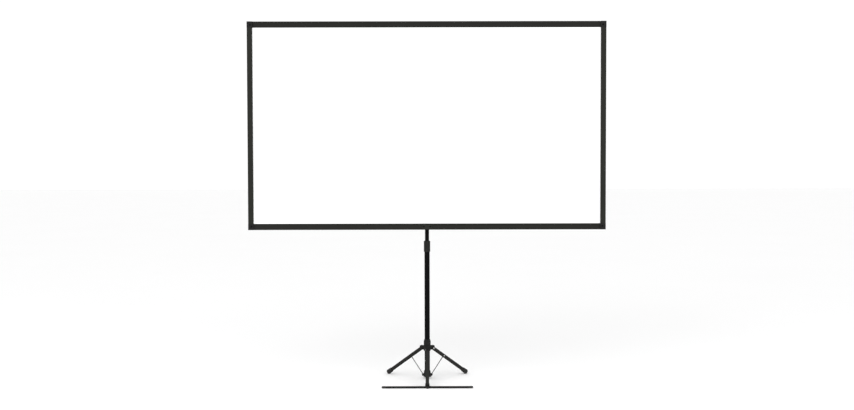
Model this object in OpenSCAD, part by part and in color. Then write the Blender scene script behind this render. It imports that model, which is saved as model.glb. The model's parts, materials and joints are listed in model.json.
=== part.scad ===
// Portable projection screen on a folding floor stand.
// A cloth screen is stretched between two upright casings with spring rollers inside.
// Four elbow arms behind the cloth push the casings apart from a central spine.
// The spine plugs onto a telescopic pole with a twist clamp, carried by a three-legged stand.
// Units are millimetres, +Z is up, the viewer looks along +Y and the floor is at Z = 0.

/* [Screen] */
// Width of the white picture area
view_w = 1771; // [1200:1:2200]
// Height of the white picture area
view_h = 996; // [700:1:1300]
// Height of the black border above and below the picture
border_h = 32; // [28:0.5:45]
// Thickness of the screen cloth
cloth_t = 0.35; // [0.25:0.05:0.6]
// Height of the lower edge of the screen above the floor
frame_z = 771.5; // [745:0.5:1100]

/* [Side casings] */
// Width of a side casing, seen from the front
bar_w = 27.5; // [26:0.5:36]
// Depth of a side casing, front to back
bar_d = 30; // [28:0.5:40]
// Wall of the casing extrusion
bar_wall = 1.5; // [1.2:0.1:2]
// How far the casing stands in front of the cloth
bar_front = 6.5; // [5.5:0.5:8]
// Outer diameter of the spring roller tube
roller_d = 12; // [10:0.5:13]
// Thickness of the cloth that is still wound on each roller
wraps_t = 1.2; // [0.6:0.1:1.8]

/* [Elbow arms] */
// Height of an arm link
link_h = 26; // [22:0.5:26]
// Thickness of an arm link, front to back
link_t = 10; // [8:0.5:12]
// Wall of the channel-shaped link
link_wall = 2; // [1.5:0.1:2.5]
// Gap between the two layers of links
link_gap = 3; // [2:0.1:5]
// Distance from the cloth back to the front layer of links
link_y = 12; // [11:0.5:16]
// Distance of the inner arm pivots from the middle
hub_pivot_x = 16.5; // [15:0.5:22]
// Diameter of the arm pivot pins
arm_pin_d = 8; // [6:0.5:9]

/* [Spine] */
// Width of the spine tube
spine_w = 40; // [36:1:50]
// Depth of the spine tube
spine_d = 26; // [25.5:0.5:32]
// Wall of the spine tube
spine_wall = 1.5; // [1.2:0.1:1.8]
// Depth of the socket that takes the pole
socket_h = 95; // [60:1:140]

/* [Pole] */
// Outer diameter of the lower tube
lower_d = 27; // [26:0.5:32]
// Outer diameter of the upper tube
upper_d = 21; // [18:0.5:21.5]
// Wall of both tubes
tube_wall = 1.5; // [1.2:0.1:1.8]
// Height of the top end of the lower tube
lower_top_z = 672; // [500:1:680]
// Height of the bottom end of the upper tube
upper_bottom_z = 100; // [85:1:140]
// Outer diameter of the twist clamp
clamp_d = 33; // [32:0.5:38]
// Height of the twist clamp
clamp_h = 58; // [54:1:70]

/* [Stand] */
// Angle of an open leg from the vertical
leg_angle = 54.5; // [48:0.5:58]
// Distance of each foot centre from the pole axis
foot_reach = 234; // [200:1:300]
// Distance of the leg pivots from the pole axis
pivot_r = 35; // [34:0.5:40]
// Width of a leg channel
leg_w = 17.5; // [17:0.5:20]
// Depth of a leg channel
leg_d = 17.5; // [14:0.5:18]
// Wall of a leg channel
leg_wall = 1.5; // [1.2:0.1:1.8]
// Radius of a rubber foot
foot_r = 12.5; // [12:0.5:15]
// Outer diameter of the leg hub collar
hub_d = 36; // [35:0.5:40]
// Height of the leg hub collar
hub_h = 60; // [50:1:70]
// Distance from leg pivot to strut pivot along the leg
strut_along = 77; // [65:1:90]
// Distance of the lower strut pivots from the pole axis
spider_r = 25; // [24:0.5:28]
// Height of the lower strut pivots above the floor
spider_z = 18; // [18:1:30]
// Diameter of a strut rod
strut_d = 4; // [2.5:0.1:4.5]

/* [Front stabiliser] */
// Length by which the front leg is longer than the other two
front_extra = 12; // [0:0.5:20]
// Overall length of the two stabiliser arms when they are open
stabiliser_w = 452; // [380:1:456]
// Diameter of a stabiliser arm
arm_d = 10.4; // [8:0.2:10.6]
// Radius of the rubber tip of a stabiliser arm
arm_tip_r = 5.6; // [5.6:0.1:6]
// Distance of the stabiliser hinges from the middle
arm_hinge_x = 16.5; // [16.5:0.5:20]

/* [Hidden] */
$fn = 64;
// Small overlap that makes a cut pass right through a face
over = 1;
// Clearance of a part that turns or slides on another
run_gap = 0.1;
// Clearance of a part that is pressed or screwed to another
seat_gap = 0.05;
// Clearance between moving faces that only pass each other
free_gap = 0.3;

// Screen layout
frame_h = view_h + 2 * border_h;
frame_top = frame_z + frame_h;
bar_x = view_w / 2 + bar_w / 2;
corner_drop = border_h / 2;
cloth_inset = 1.3;
pivot_low = frame_z + corner_drop;
pivot_high = frame_top - corner_drop;
link_len = (bar_x - hub_pivot_x) / 2;
elbow_x = hub_pivot_x + link_len;
slot_h = 2;

// Depths are measured from the cloth, towards the back
outer_y = link_y + link_t + link_gap;
spine_y = outer_y;
bar_back = bar_d - bar_front;
pin_head_h = 2;
washer_lip = 3;

// Roller and corner cap layout
roller_r = roller_d / 2;
roller_wall = 1;
wound_r = roller_r + wraps_t;
roller_y = wound_r + cloth_t / 2;
gudgeon_r = 3;
gudgeon_h = 3.5;
cap_wall = 2;
cap_back = 4;
cap_floor = 4;
cap_screw_in = 3.5;
cap_screw_z = 18;
cap_recess = 1;

// Layout of the brackets that hold the inner pivots
bracket_lip = 2;
bracket_plate_t = 3.2;
bracket_half = hub_pivot_x + link_h / 2 + bracket_lip;
bracket_front = link_y - free_gap - bracket_plate_t;
bracket_back = link_y + link_t + free_gap;
flange_t = 2.7;
clamp_plate_t = 3;
clamp_plate_gap = 0.4;
clamp_plate_y = -cloth_t / 2 - clamp_plate_gap;
screw_r = 2;
screw_head_r = 4;
screw_head_h = 1.8;

// Spine layout
spine_inset = 3;
spine_round = 3;
spine_low = frame_z + spine_inset;
spine_high = frame_top - spine_inset;

// Pole layout
lower_r = lower_d / 2;
lower_in = lower_r - tube_wall;
lower_bottom_z = 9;
upper_r = upper_d / 2;
bush_h = 32;
guide_h = 25;

// Twist clamp layout
clamp_r = clamp_d / 2;
clamp_rise = 41;
clamp_foot_h = 14;
neck_rise = 18;
grip_wall = 1.45;
grip_lid_h = 5;
collet_gap = 2;
clamp_top_z = lower_top_z + clamp_rise;
clamp_z = clamp_top_z - clamp_h;
grip_z = clamp_z + clamp_foot_h;
neck_top_z = lower_top_z + neck_rise;
neck_r = clamp_r - grip_wall - free_gap;
collet_top_z = clamp_top_z - grip_lid_h - collet_gap;

// Stand layout
foot_flat = 1;
foot_z = foot_r - foot_flat;
leg_len = (foot_reach - pivot_r) / sin(leg_angle);
pivot_z = foot_z + leg_len * cos(leg_angle);
strut_in = 0;
strut_r_top = pivot_r + strut_along * sin(leg_angle) - strut_in * cos(leg_angle);
strut_z_top = pivot_z - strut_along * cos(leg_angle) - strut_in * sin(leg_angle);
strut_len = norm([strut_r_top - spider_r, strut_z_top - spider_z]);
strut_angle = atan2(strut_r_top - spider_r, strut_z_top - spider_z);
folded_lean = asin((pivot_r - strut_in - spider_r) / strut_len);
hub_travel = spider_z + strut_len * cos(folded_lean) + strut_along - pivot_z;
inside_w = leg_w - 2 * leg_wall;
leg_round = 4;
leg_pin_r = 3;
strut_pin_r = 2;
rear_end_gap = 4;
front_end_gap = 8;
azimuths = [-90, 30, 150];

// Hub, lock knob and spider layout
hub_r = hub_d / 2;
hub_below = 11;
hub_z = pivot_z - hub_below;
knob_rise = 30;
knob_z = pivot_z + knob_rise;
knob_y = hub_r + 10;
knob_t = 14;
lock_screw_end = knob_y + knob_t - 2;
boss_h = 6;
ear_t = 3.2;
ear_r = 4.5;
ear_gap = strut_d + 1.6;

// Front fitting layout, measured across the leg from its axis
front_len = leg_len + front_extra;
front_foot_z = pivot_z - front_len * cos(leg_angle);
arm_x = (arm_tip_r - front_foot_z) / sin(leg_angle);
eye_t = 5;
eye_r = 4;
plate_t = 1.2;
plate_top = arm_x + eye_t / 2 + free_gap + plate_t;
plate_low = arm_x - eye_t / 2 - free_gap - plate_t;
nose = 14;
arm_pin_r = 2;
tip_h = 16;
spigot_r = 3.4;
arm_reach = stabiliser_w / 2 - arm_hinge_x;

// The origin is under the middle of the whole object
front_reach = pivot_r + (front_len + nose) * sin(leg_angle) + plate_top * cos(leg_angle);
rear_reach = foot_reach * cos(60) + foot_r;
pole_y = (front_reach - rear_reach) / 2;
cloth_y = pole_y - spine_y - spine_d / 2;

// Colours of the real surfaces
charcoal = [0.19, 0.20, 0.18];
black = [0.08, 0.08, 0.08];
dark_grey = [0.22, 0.22, 0.21];
rubber = [0.15, 0.15, 0.15];
steel = [0.62, 0.63, 0.64];
silver = [0.8, 0.81, 0.82];
white = [0.97, 0.97, 0.97];
nylon = [0.3, 0.3, 0.3];

// Placement helpers

// Moves the origin to the foot of the pole axis
module at_pole() {
    translate([0, pole_y, 0])
        children();
}

// Moves the origin to the middle of the cloth plane, at floor level
module at_cloth() {
    translate([0, cloth_y, 0])
        children();
}

// Turns the radial direction of a leg to +X
module at_azimuth(i) {
    at_pole()
        rotate([0, 0, azimuths[i]])
            children();
}

// Leg frame: the pivot is the origin, -Z runs down the leg and +X faces outwards and up
module at_leg(i) {
    at_azimuth(i)
        translate([pivot_r, 0, pivot_z])
            rotate([0, -leg_angle, 0])
                children();
}

// A cylinder along Y from y0 to y1
module y_rod(r, y0, y1) {
    translate([0, y0, 0])
        rotate([-90, 0, 0])
            cylinder(r = r, h = y1 - y0);
}

// A cylinder along X from x0 to x1
module x_rod(r, x0, x1) {
    translate([x0, 0, 0])
        rotate([0, 90, 0])
            cylinder(r = r, h = x1 - x0);
}

// A ring round Z from z0 to z1
module ring(r_out, r_in, z0, z1) {
    translate([0, 0, z0])
        difference() {
            cylinder(r = r_out, h = z1 - z0);
            translate([0, 0, -over])
                cylinder(r = r_in, h = z1 - z0 + 2 * over);
        }
}

// A box given by its lowest and highest corners
module box(low, high) {
    translate(low)
        cube(high - low);
}

// A rectangle about the origin with round corners
module round_rect(w, d, r) {
    square([w, d - 2 * r], center = true);
    square([w - 2 * r, d], center = true);
    for (sx = [-1, 1])
        for (sy = [-1, 1])
            translate([sx * (w / 2 - r), sy * (d / 2 - r)])
                circle(r = r);
}

// Removes what reaches below the floor
module above_floor() {
    difference() {
        children();
        translate([-2 * foot_reach, -2 * foot_reach, -4 * foot_r])
            cube([4 * foot_reach, 4 * foot_reach, 4 * foot_r]);
    }
}

// Pole

module lower_tube() {
    color(black)
        at_pole()
            ring(lower_r, lower_in, lower_bottom_z, lower_top_z);
}

module tube_end_plug() {
    flange_h = 3;
    plug_h = 18;
    color(rubber)
        at_pole() {
            translate([0, 0, lower_bottom_z - flange_h])
                cylinder(r = lower_r, h = flange_h);
            translate([0, 0, lower_bottom_z])
                cylinder(r = lower_in - seat_gap, h = plug_h);
        }
}

module tube_bush() {
    color(nylon)
        at_pole()
            ring(lower_in - seat_gap, upper_r + free_gap, lower_top_z - bush_h, lower_top_z);
}

module clamp_base() {
    foot_h = grip_z - free_gap - clamp_z;
    bevel = 3;
    color(dark_grey)
        at_pole()
            difference() {
                union() {
                    translate([0, 0, clamp_z])
                        cylinder(r1 = clamp_r - bevel / 2, r2 = clamp_r, h = bevel);
                    translate([0, 0, clamp_z + bevel])
                        cylinder(r = clamp_r, h = foot_h - bevel);
                    translate([0, 0, clamp_z + foot_h])
                        cylinder(r = neck_r, h = neck_top_z - clamp_z - foot_h);
                }
                translate([0, 0, clamp_z - over])
                    cylinder(r = lower_r + seat_gap, h = clamp_h);
            }
}

module clamp_collet() {
    tip_wall = 0.9;
    slit = 1.6;
    slit_low = 1.5;
    color(nylon)
        at_pole()
            difference() {
                union() {
                    translate([0, 0, lower_top_z])
                        cylinder(r = lower_r - seat_gap, h = neck_rise);
                    translate([0, 0, neck_top_z])
                        cylinder(r1 = lower_r - seat_gap, r2 = upper_r + free_gap + tip_wall,
                                 h = collet_top_z - neck_top_z);
                }
                translate([0, 0, lower_top_z - over])
                    cylinder(r = upper_r + free_gap, h = clamp_rise);
                for (a = [0, 120, 240])
                    rotate([0, 0, a])
                        translate([upper_r / 2, -slit / 2, neck_top_z - slit_low])
                            cube([lower_r, slit, clamp_rise]);
            }
}

// The ribbed collar that is twisted to clamp the upper tube
module clamp_grip() {
    bevel = 4;
    ribs = 20;
    groove_r = 1.1;
    groove_z = grip_z + bevel;
    color(dark_grey)
        at_pole()
            difference() {
                union() {
                    translate([0, 0, grip_z])
                        cylinder(r = clamp_r, h = clamp_top_z - grip_z - bevel);
                    translate([0, 0, clamp_top_z - bevel])
                        cylinder(r1 = clamp_r, r2 = clamp_r - bevel, h = bevel);
                }
                translate([0, 0, grip_z - over])
                    cylinder(r = neck_r + free_gap, h = neck_top_z + free_gap - grip_z + over);
                translate([0, 0, neck_top_z])
                    cylinder(r = lower_r + free_gap, h = clamp_top_z - grip_lid_h - neck_top_z);
                translate([0, 0, clamp_top_z - grip_lid_h - over])
                    cylinder(r = upper_r + free_gap, h = grip_lid_h + 2 * over);
                for (i = [0 : ribs - 1])
                    rotate([0, 0, i * 360 / ribs])
                        translate([clamp_r + groove_r / 2, 0, groove_z])
                            cylinder(r = groove_r, h = clamp_top_z - 2 * bevel - grip_z);
            }
}

module upper_tube() {
    color(black)
        at_pole()
            ring(upper_r, upper_r - tube_wall, upper_bottom_z, spine_low + socket_h);
}

module pole_guide() {
    color(nylon)
        at_pole()
            ring(lower_in - free_gap, upper_r + seat_gap, upper_bottom_z, upper_bottom_z + guide_h);
}

// Stand

// The lug of the hub that a leg straddles
module hub_lug() {
    lug_t = inside_w - 2 * free_gap;
    lug_r = 6;
    crest_rise = 15.5;
    crest_round = 4;
    translate([0, -lug_t / 2, pivot_z - lug_r])
        cube([pivot_r, lug_t, 2 * lug_r]);
    translate([pivot_r, 0, pivot_z])
        y_rod(lug_r, -lug_t / 2, lug_t / 2);
    translate([0, -lug_t / 2, pivot_z])
        cube([pivot_r + lug_r - crest_round, lug_t, crest_rise]);
    translate([0, -lug_t / 2, pivot_z])
        cube([pivot_r + lug_r, lug_t, crest_rise - crest_round]);
    translate([pivot_r + lug_r - crest_round, 0, pivot_z + crest_rise - crest_round])
        y_rod(crest_round, -lug_t / 2, lug_t / 2);
}

module leg_hub() {
    shoulder = 15;
    lip = 1.5;
    base_h = 4;
    boss_r = 7;
    color(dark_grey)
        difference() {
            union() {
                at_pole() {
                    translate([0, 0, hub_z])
                        cylinder(r1 = hub_r - base_h / 2, r2 = hub_r, h = base_h);
                    translate([0, 0, hub_z + base_h])
                        cylinder(r = hub_r, h = hub_h - base_h - shoulder);
                    translate([0, 0, hub_z + hub_h - shoulder])
                        cylinder(r1 = hub_r, r2 = lower_r + lip, h = shoulder);
                    translate([0, 0, knob_z])
                        y_rod(boss_r, lower_r, hub_r + boss_h);
                }
                for (i = [0 : 2])
                    at_azimuth(i)
                        hub_lug();
            }
            at_pole() {
                translate([0, 0, hub_z - over])
                    cylinder(r = lower_r + free_gap, h = hub_h + 2 * over);
                translate([0, 0, knob_z])
                    y_rod(leg_pin_r + run_gap, lower_r, hub_r + boss_h + over);
            }
            for (i = [0 : 2])
                at_azimuth(i)
                    translate([pivot_r, 0, pivot_z])
                        y_rod(leg_pin_r + seat_gap, -leg_w, leg_w);
        }
}

// A rivet along Y whose shank spans half_w to each side
module rivet(shank_r, half_w) {
    head_h = 1.4;
    head_r = shank_r + head_h;
    y_rod(shank_r, -half_w, half_w);
    for (s = [-1, 1])
        translate([0, s * (half_w + head_h / 2), 0])
            y_rod(head_r, -head_h / 2, head_h / 2);
}

module hub_hinge_pins() {
    color(steel)
        for (i = [0 : 2])
            at_azimuth(i)
                translate([pivot_r, 0, pivot_z])
                    rivet(leg_pin_r, leg_w / 2 + seat_gap);
}

module hub_lock_screw() {
    color(steel)
        at_pole()
            translate([0, 0, knob_z])
                y_rod(leg_pin_r, lower_r + run_gap, lock_screw_end);
}

module hub_lock_knob() {
    knob_r = 13;
    neck_h = 3;
    lobes = 6;
    scoop_r = 4.5;
    color(black)
        at_pole()
            translate([0, 0, knob_z])
                difference() {
                    union() {
                        y_rod(knob_r - scoop_r, knob_y - neck_h, knob_y);
                        y_rod(knob_r, knob_y, knob_y + knob_t);
                    }
                    y_rod(leg_pin_r + seat_gap, knob_y - neck_h - over,
                              lock_screw_end + seat_gap);
                    for (a = [0 : 360 / lobes : 359])
                        rotate([0, a, 0])
                            translate([knob_r + scoop_r / 2, 0, 0])
                                y_rod(scoop_r, knob_y - over, knob_y + knob_t + over);
                }
}

// Two ears of the spider with an open gap for the strut between them
module spider_ears() {
    root = 2;
    drop = 3;
    for (s = [-1, 1])
        translate([0, s * (ear_gap + ear_t) / 2, 0]) {
            translate([lower_r + root, -ear_t / 2, spider_z - ear_r - drop])
                cube([spider_r - lower_r - root, ear_t, 2 * ear_r + drop]);
            translate([spider_r, 0, spider_z])
                y_rod(ear_r, -ear_t / 2, ear_t / 2);
        }
}

module foot_spider() {
    below = 9;
    above = 22;
    skirt_h = 12;
    skirt_wall = 7;
    waist_wall = 5;
    collar_wall = 3;
    low_z = spider_z - below;
    high_z = spider_z + above;
    color(dark_grey)
        difference() {
            union() {
                at_pole() {
                    translate([0, 0, low_z])
                        cylinder(r1 = lower_r + skirt_wall, r2 = lower_r + waist_wall, h = skirt_h);
                    translate([0, 0, low_z + skirt_h])
                        cylinder(r1 = lower_r + waist_wall, r2 = lower_r + collar_wall,
                                 h = high_z - low_z - skirt_h);
                }
                for (i = [0 : 2])
                    at_azimuth(i)
                        spider_ears();
            }
            at_pole()
                translate([0, 0, low_z - over])
                    cylinder(r = lower_r + seat_gap, h = high_z - low_z + 2 * over);
            for (i = [0 : 2])
                at_azimuth(i)
                    translate([spider_r, 0, spider_z])
                        y_rod(strut_pin_r + seat_gap, -leg_w, leg_w);
        }
}

// Half rivets that stop short of the gap, because this pivot of the linkage is open
module spider_rivets() {
    ear_out = ear_gap / 2 + ear_t + seat_gap;
    head_h = 0.9;
    head_lip = 1;
    color(steel)
        for (i = [0 : 2])
            at_azimuth(i)
                translate([spider_r, 0, spider_z])
                    for (s = [0, 1])
                        mirror([0, s, 0]) {
                            y_rod(strut_pin_r, ear_gap / 2, ear_out);
                            y_rod(strut_pin_r + head_lip, ear_out, ear_out + head_h);
                        }
}

// A leg is a channel, open towards the pole, whose two flanges straddle the hub lug
module leg_channel(i, length, end_gap) {
    web_start = 12;
    color(dark_grey)
        at_leg(i)
            difference() {
                union() {
                    translate([0, 0, -length + end_gap])
                        linear_extrude(height = length - end_gap)
                            round_rect(leg_d, leg_w, leg_round);
                    y_rod(leg_d / 2, -leg_w / 2, leg_w / 2);
                }
                translate([-leg_d, -inside_w / 2, -length - over])
                    cube([1.5 * leg_d - leg_wall, inside_w, length + leg_d]);
                translate([-leg_d, -inside_w / 2, -web_start])
                    cube([2 * leg_d, inside_w, web_start + leg_d]);
                y_rod(leg_pin_r + run_gap, -leg_w, leg_w);
                translate([-strut_in, 0, -strut_along])
                    y_rod(strut_pin_r + seat_gap, -leg_w, leg_w);
            }
}

module leg_front() leg_channel(0, front_len, front_end_gap);
module leg_right() leg_channel(1, leg_len, rear_end_gap);
module leg_left() leg_channel(2, leg_len, rear_end_gap);

module strut_pin(i) {
    color(silver)
        at_leg(i)
            translate([-strut_in, 0, -strut_along])
                rivet(strut_pin_r, leg_w / 2 + seat_gap);
}

module strut_pin_front() strut_pin(0);
module strut_pin_right() strut_pin(1);
module strut_pin_left() strut_pin(2);

// A strut is a rod with a cross tube on the leg's pin and a flat eye at the spider
module strut(i) {
    tube_r = 3.6;
    low_eye_r = 3.2;
    tube_w = inside_w - 2 * free_gap;
    color(steel)
        at_azimuth(i)
            translate([spider_r, 0, spider_z])
                rotate([0, strut_angle, 0])
                    difference() {
                        union() {
                            cylinder(r = strut_d / 2, h = strut_len);
                            y_rod(low_eye_r, -strut_d / 2, strut_d / 2);
                            translate([0, 0, strut_len])
                                y_rod(tube_r, -tube_w / 2, tube_w / 2);
                        }
                        translate([0, 0, strut_len])
                            y_rod(strut_pin_r + run_gap, -leg_w, leg_w);
                    }
}

module strut_front() strut(0);
module strut_right() strut(1);
module strut_left() strut(2);

// A rubber boot on the end of a rear leg, worn flat where it stands
module foot(i) {
    boot_h = 22;
    taper = 1;
    toe = 9.5;
    color(rubber)
        above_floor()
            at_leg(i)
                translate([0, 0, -leg_len])
                    difference() {
                        union() {
                            sphere(r = foot_r);
                            cylinder(r1 = foot_r, r2 = foot_r - taper, h = boot_h);
                        }
                        box([-foot_r, -foot_r, -toe - foot_r], [foot_r, foot_r, -toe]);
                        translate([0, 0, rear_end_gap])
                            linear_extrude(height = boot_h)
                                round_rect(leg_d + 2 * seat_gap, leg_w + 2 * seat_gap,
                                           leg_round + seat_gap);
                    }
}

module foot_right() foot(1);
module foot_left() foot(2);

// Front fitting: a sleeve on the leg's end and two plates that hold the hinged arms
module front_fitting() {
    sleeve_low = 6;
    sleeve_high = 18;
    sleeve_wall = 2.2;
    core_r = 5.5;
    plate_r = 4;
    color(dark_grey)
        above_floor()
            at_leg(0)
                translate([0, 0, -front_len])
                    difference() {
                        union() {
                            translate([0, 0, sleeve_low])
                                linear_extrude(height = sleeve_high - sleeve_low)
                                    round_rect(leg_d + 2 * sleeve_wall, leg_w + 2 * sleeve_wall,
                                               leg_round + sleeve_wall);
                            box([plate_low, -core_r, core_r - nose],
                                [plate_top, core_r, sleeve_low + over]);
                            translate([0, 0, core_r - nose])
                                x_rod(core_r, plate_low, plate_top);
                            for (x0 = [plate_low, plate_top - plate_t]) {
                                box([x0, -arm_hinge_x, -plate_r],
                                    [x0 + plate_t, arm_hinge_x, plate_r]);
                                for (s = [-1, 1])
                                    translate([0, s * arm_hinge_x, 0])
                                        x_rod(plate_r, x0, x0 + plate_t);
                            }
                        }
                        translate([0, 0, front_end_gap])
                            linear_extrude(height = sleeve_high)
                                round_rect(leg_d + 2 * seat_gap, leg_w + 2 * seat_gap,
                                           leg_round + seat_gap);
                        for (s = [-1, 1])
                            translate([0, s * arm_hinge_x, 0])
                                x_rod(arm_pin_r + seat_gap, plate_low - over, plate_top + over);
                    }
}

module fitting_pins() {
    head_h = 1;
    head_lip = 1.5;
    color(steel)
        above_floor()
            at_leg(0)
                translate([0, 0, -front_len])
                    for (s = [-1, 1])
                        translate([0, s * arm_hinge_x, 0]) {
                            x_rod(arm_pin_r, plate_low, plate_top);
                            x_rod(arm_pin_r + head_lip, plate_top, plate_top + head_h);
                        }
}

// A stabiliser arm: s is 1 on the right and -1 on the left
module stabiliser_arm(s) {
    flat_reach = 13;
    shoulder = arm_reach - arm_tip_r - tip_h - seat_gap;
    color(black)
        at_leg(0)
            translate([arm_x, s * arm_hinge_x, -front_len])
                difference() {
                    union() {
                        x_rod(eye_r, -eye_t / 2, eye_t / 2);
                        rotate([-90 * s, 0, 0])
                            translate([0, 0, shoulder - over])
                                cylinder(r = spigot_r, h = tip_h + seat_gap + over);
                        difference() {
                            rotate([-90 * s, 0, 0])
                                cylinder(r = arm_d / 2, h = shoulder);
                            for (m = [0, 1])
                                mirror([m, 0, 0])
                                    translate([eye_t / 2, -flat_reach, -arm_d])
                                        cube([arm_d, 2 * flat_reach, 2 * arm_d]);
                        }
                    }
                    x_rod(arm_pin_r + run_gap, -eye_t, eye_t);
                }
}

module arm_right() stabiliser_arm(1);
module arm_left() stabiliser_arm(-1);

module arm_tip(s) {
    taper = 0.3;
    color(rubber)
        at_leg(0)
            translate([arm_x, s * (arm_hinge_x + arm_reach - arm_tip_r), -front_len])
                rotate([-90 * s, 0, 0])
                    difference() {
                        union() {
                            sphere(r = arm_tip_r);
                            translate([0, 0, -tip_h])
                                cylinder(r1 = arm_tip_r - taper, r2 = arm_tip_r, h = tip_h);
                        }
                        translate([0, 0, -tip_h - over])
                            cylinder(r = spigot_r + seat_gap, h = tip_h + over);
                    }
}

module arm_tip_right() arm_tip(1);
module arm_tip_left() arm_tip(-1);

// Spine

// The section that plugs into the spine tube
module spine_inside() {
    inset = spine_wall + seat_gap;
    round_rect(spine_w - 2 * inset, spine_d - 2 * inset, spine_round - inset);
}

module spine() {
    color(charcoal)
        at_pole()
            translate([0, 0, spine_low])
                linear_extrude(height = spine_high - spine_low)
                    difference() {
                        round_rect(spine_w, spine_d, spine_round);
                        round_rect(spine_w - 2 * spine_wall, spine_d - 2 * spine_wall,
                                   spine_round - spine_wall);
                    }
}

module spine_cap() {
    lid_h = 2.5;
    plug_h = 12;
    color(black)
        at_pole() {
            translate([0, 0, spine_high])
                linear_extrude(height = lid_h)
                    round_rect(spine_w, spine_d, spine_round);
            translate([0, 0, spine_high - plug_h])
                linear_extrude(height = plug_h)
                    spine_inside();
        }
}

module pole_socket() {
    stop_h = 6;
    color(nylon)
        at_pole()
            difference() {
                translate([0, 0, spine_low])
                    linear_extrude(height = socket_h + stop_h)
                        spine_inside();
                translate([0, 0, spine_low - over])
                    cylinder(r = upper_r + run_gap, h = socket_h + over);
            }
}

// Brackets that hold the inner pivots

// A bracket behind the cloth: s is 1 for the top one and -1 for the bottom one
module bracket(s, z) {
    reach = link_h / 2;
    color(black)
        at_cloth()
            difference() {
                translate([0, 0, z])
                    mirror([0, 0, s > 0 ? 0 : 1]) {
                        box([-bracket_half, bracket_back, -reach],
                            [bracket_half, spine_y, corner_drop]);
                        box([-bracket_half, bracket_front, -reach],
                            [bracket_half, bracket_front + bracket_plate_t, corner_drop]);
                        box([-bracket_half, bracket_front, corner_drop - flange_t],
                            [bracket_half, spine_y, corner_drop]);
                    }
                for (x = [-hub_pivot_x, hub_pivot_x])
                    translate([x, 0, z])
                        y_rod(arm_pin_d / 2 + seat_gap, bracket_front - over, spine_y + over);
            }
}

module top_bracket() bracket(1, pivot_high);
module bottom_bracket() bracket(-1, pivot_low);

module bracket_pins() {
    head_lip = 2;
    color(steel)
        at_cloth()
            for (z = [pivot_low, pivot_high])
                for (x = [-hub_pivot_x, hub_pivot_x])
                    translate([x, 0, z]) {
                        y_rod(arm_pin_d / 2, bracket_front, spine_y);
                        y_rod(arm_pin_d / 2 + head_lip, bracket_front - pin_head_h, bracket_front);
                    }
}

// The plate in front that grips the lower edge of the cloth at the middle
module cloth_clamp_plate() {
    plate_half = 26;
    plate_rise = 11;
    plate_front = clamp_plate_y - clamp_plate_t;
    color(black)
        at_cloth()
            difference() {
                box([-plate_half, plate_front, frame_z],
                    [plate_half, clamp_plate_y, pivot_low + plate_rise]);
                for (x = [-hub_pivot_x, hub_pivot_x])
                    translate([x, 0, pivot_low]) {
                        y_rod(screw_r + seat_gap, plate_front - over, over);
                        y_rod(screw_head_r + seat_gap, plate_front - over,
                              plate_front + screw_head_h);
                    }
            }
}

module clamp_plate_screws() {
    plate_front = clamp_plate_y - clamp_plate_t;
    sunk = 0.3;
    socket_r = 1.5;
    socket_h = 1.2;
    color(black)
        at_cloth()
            for (x = [-hub_pivot_x, hub_pivot_x])
                translate([x, 0, pivot_low]) {
                    y_rod(screw_r, plate_front + screw_head_h,
                          bracket_front - pin_head_h - seat_gap);
                    difference() {
                        y_rod(screw_head_r, plate_front + sunk, plate_front + screw_head_h);
                        y_rod(socket_r, plate_front - over, plate_front + socket_h);
                    }
                }
}

// Cloth

// A flat stretch of cloth between two heights, from roller to roller
module cloth(z0, z1) {
    box([-bar_x, -cloth_t / 2, z0], [bar_x, cloth_t / 2, z1]);
}

module screen_cloth() {
    color(white)
        at_cloth()
            cloth(frame_z + border_h, frame_top - border_h);
}

// The strip of a border between the caps that reaches the outline of the frame
module border_edge(z0, z1) {
    half = bar_x - bar_w / 2 - free_gap;
    box([-half, -cloth_t / 2, z0], [half, cloth_t / 2, z1]);
}

module border_top() {
    color(charcoal)
        at_cloth() {
            cloth(frame_top - border_h, frame_top - cloth_inset);
            border_edge(frame_top - border_h / 2, frame_top);
        }
}

module border_bottom() {
    color(charcoal)
        at_cloth()
            difference() {
                union() {
                    cloth(frame_z + cloth_inset, frame_z + border_h);
                    border_edge(frame_z, frame_z + border_h / 2);
                }
                for (x = [-hub_pivot_x, hub_pivot_x])
                    translate([x, 0, pivot_low])
                        y_rod(screw_r + free_gap, -over, over);
            }
}

// Elbow arms

// A link from the origin to [len, 0]: a channel that is open at the back, with solid round ends
module link_body(y0) {
    solid_end = link_h;
    difference() {
        union() {
            box([0, y0, -link_h / 2], [link_len, y0 + link_t, link_h / 2]);
            y_rod(link_h / 2, y0, y0 + link_t);
            translate([link_len, 0, 0])
                y_rod(link_h / 2, y0, y0 + link_t);
        }
        box([solid_end, y0 + link_wall, -link_h / 2 + link_wall],
            [link_len - solid_end, y0 + link_t + over, link_h / 2 - link_wall]);
    }
}

// An inner link carries the elbow stud that the outer link turns on
module inner_link(side, z) {
    stud_r = arm_pin_d / 2;
    color(charcoal)
        at_cloth()
            mirror([side > 0 ? 0 : 1, 0, 0])
                translate([hub_pivot_x, 0, z])
                    difference() {
                        union() {
                            link_body(link_y);
                            translate([link_len, 0, 0]) {
                                y_rod(stud_r + washer_lip, link_y + link_t, outer_y - free_gap);
                                y_rod(stud_r, link_y + link_t, outer_y + link_t + free_gap);
                                y_rod(stud_r + washer_lip, outer_y + link_t + free_gap,
                                      outer_y + link_t + free_gap + pin_head_h);
                            }
                        }
                        y_rod(stud_r + run_gap, link_y - over, link_y + link_t + over);
                    }
}

module outer_link(side, z) {
    color(charcoal)
        at_cloth()
            mirror([side > 0 ? 0 : 1, 0, 0])
                translate([elbow_x, 0, z])
                    difference() {
                        link_body(outer_y);
                        for (x = [0, link_len])
                            translate([x, 0, 0])
                                y_rod(arm_pin_d / 2 + run_gap, outer_y - over,
                                      outer_y + link_t + over);
                    }
}

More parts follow.
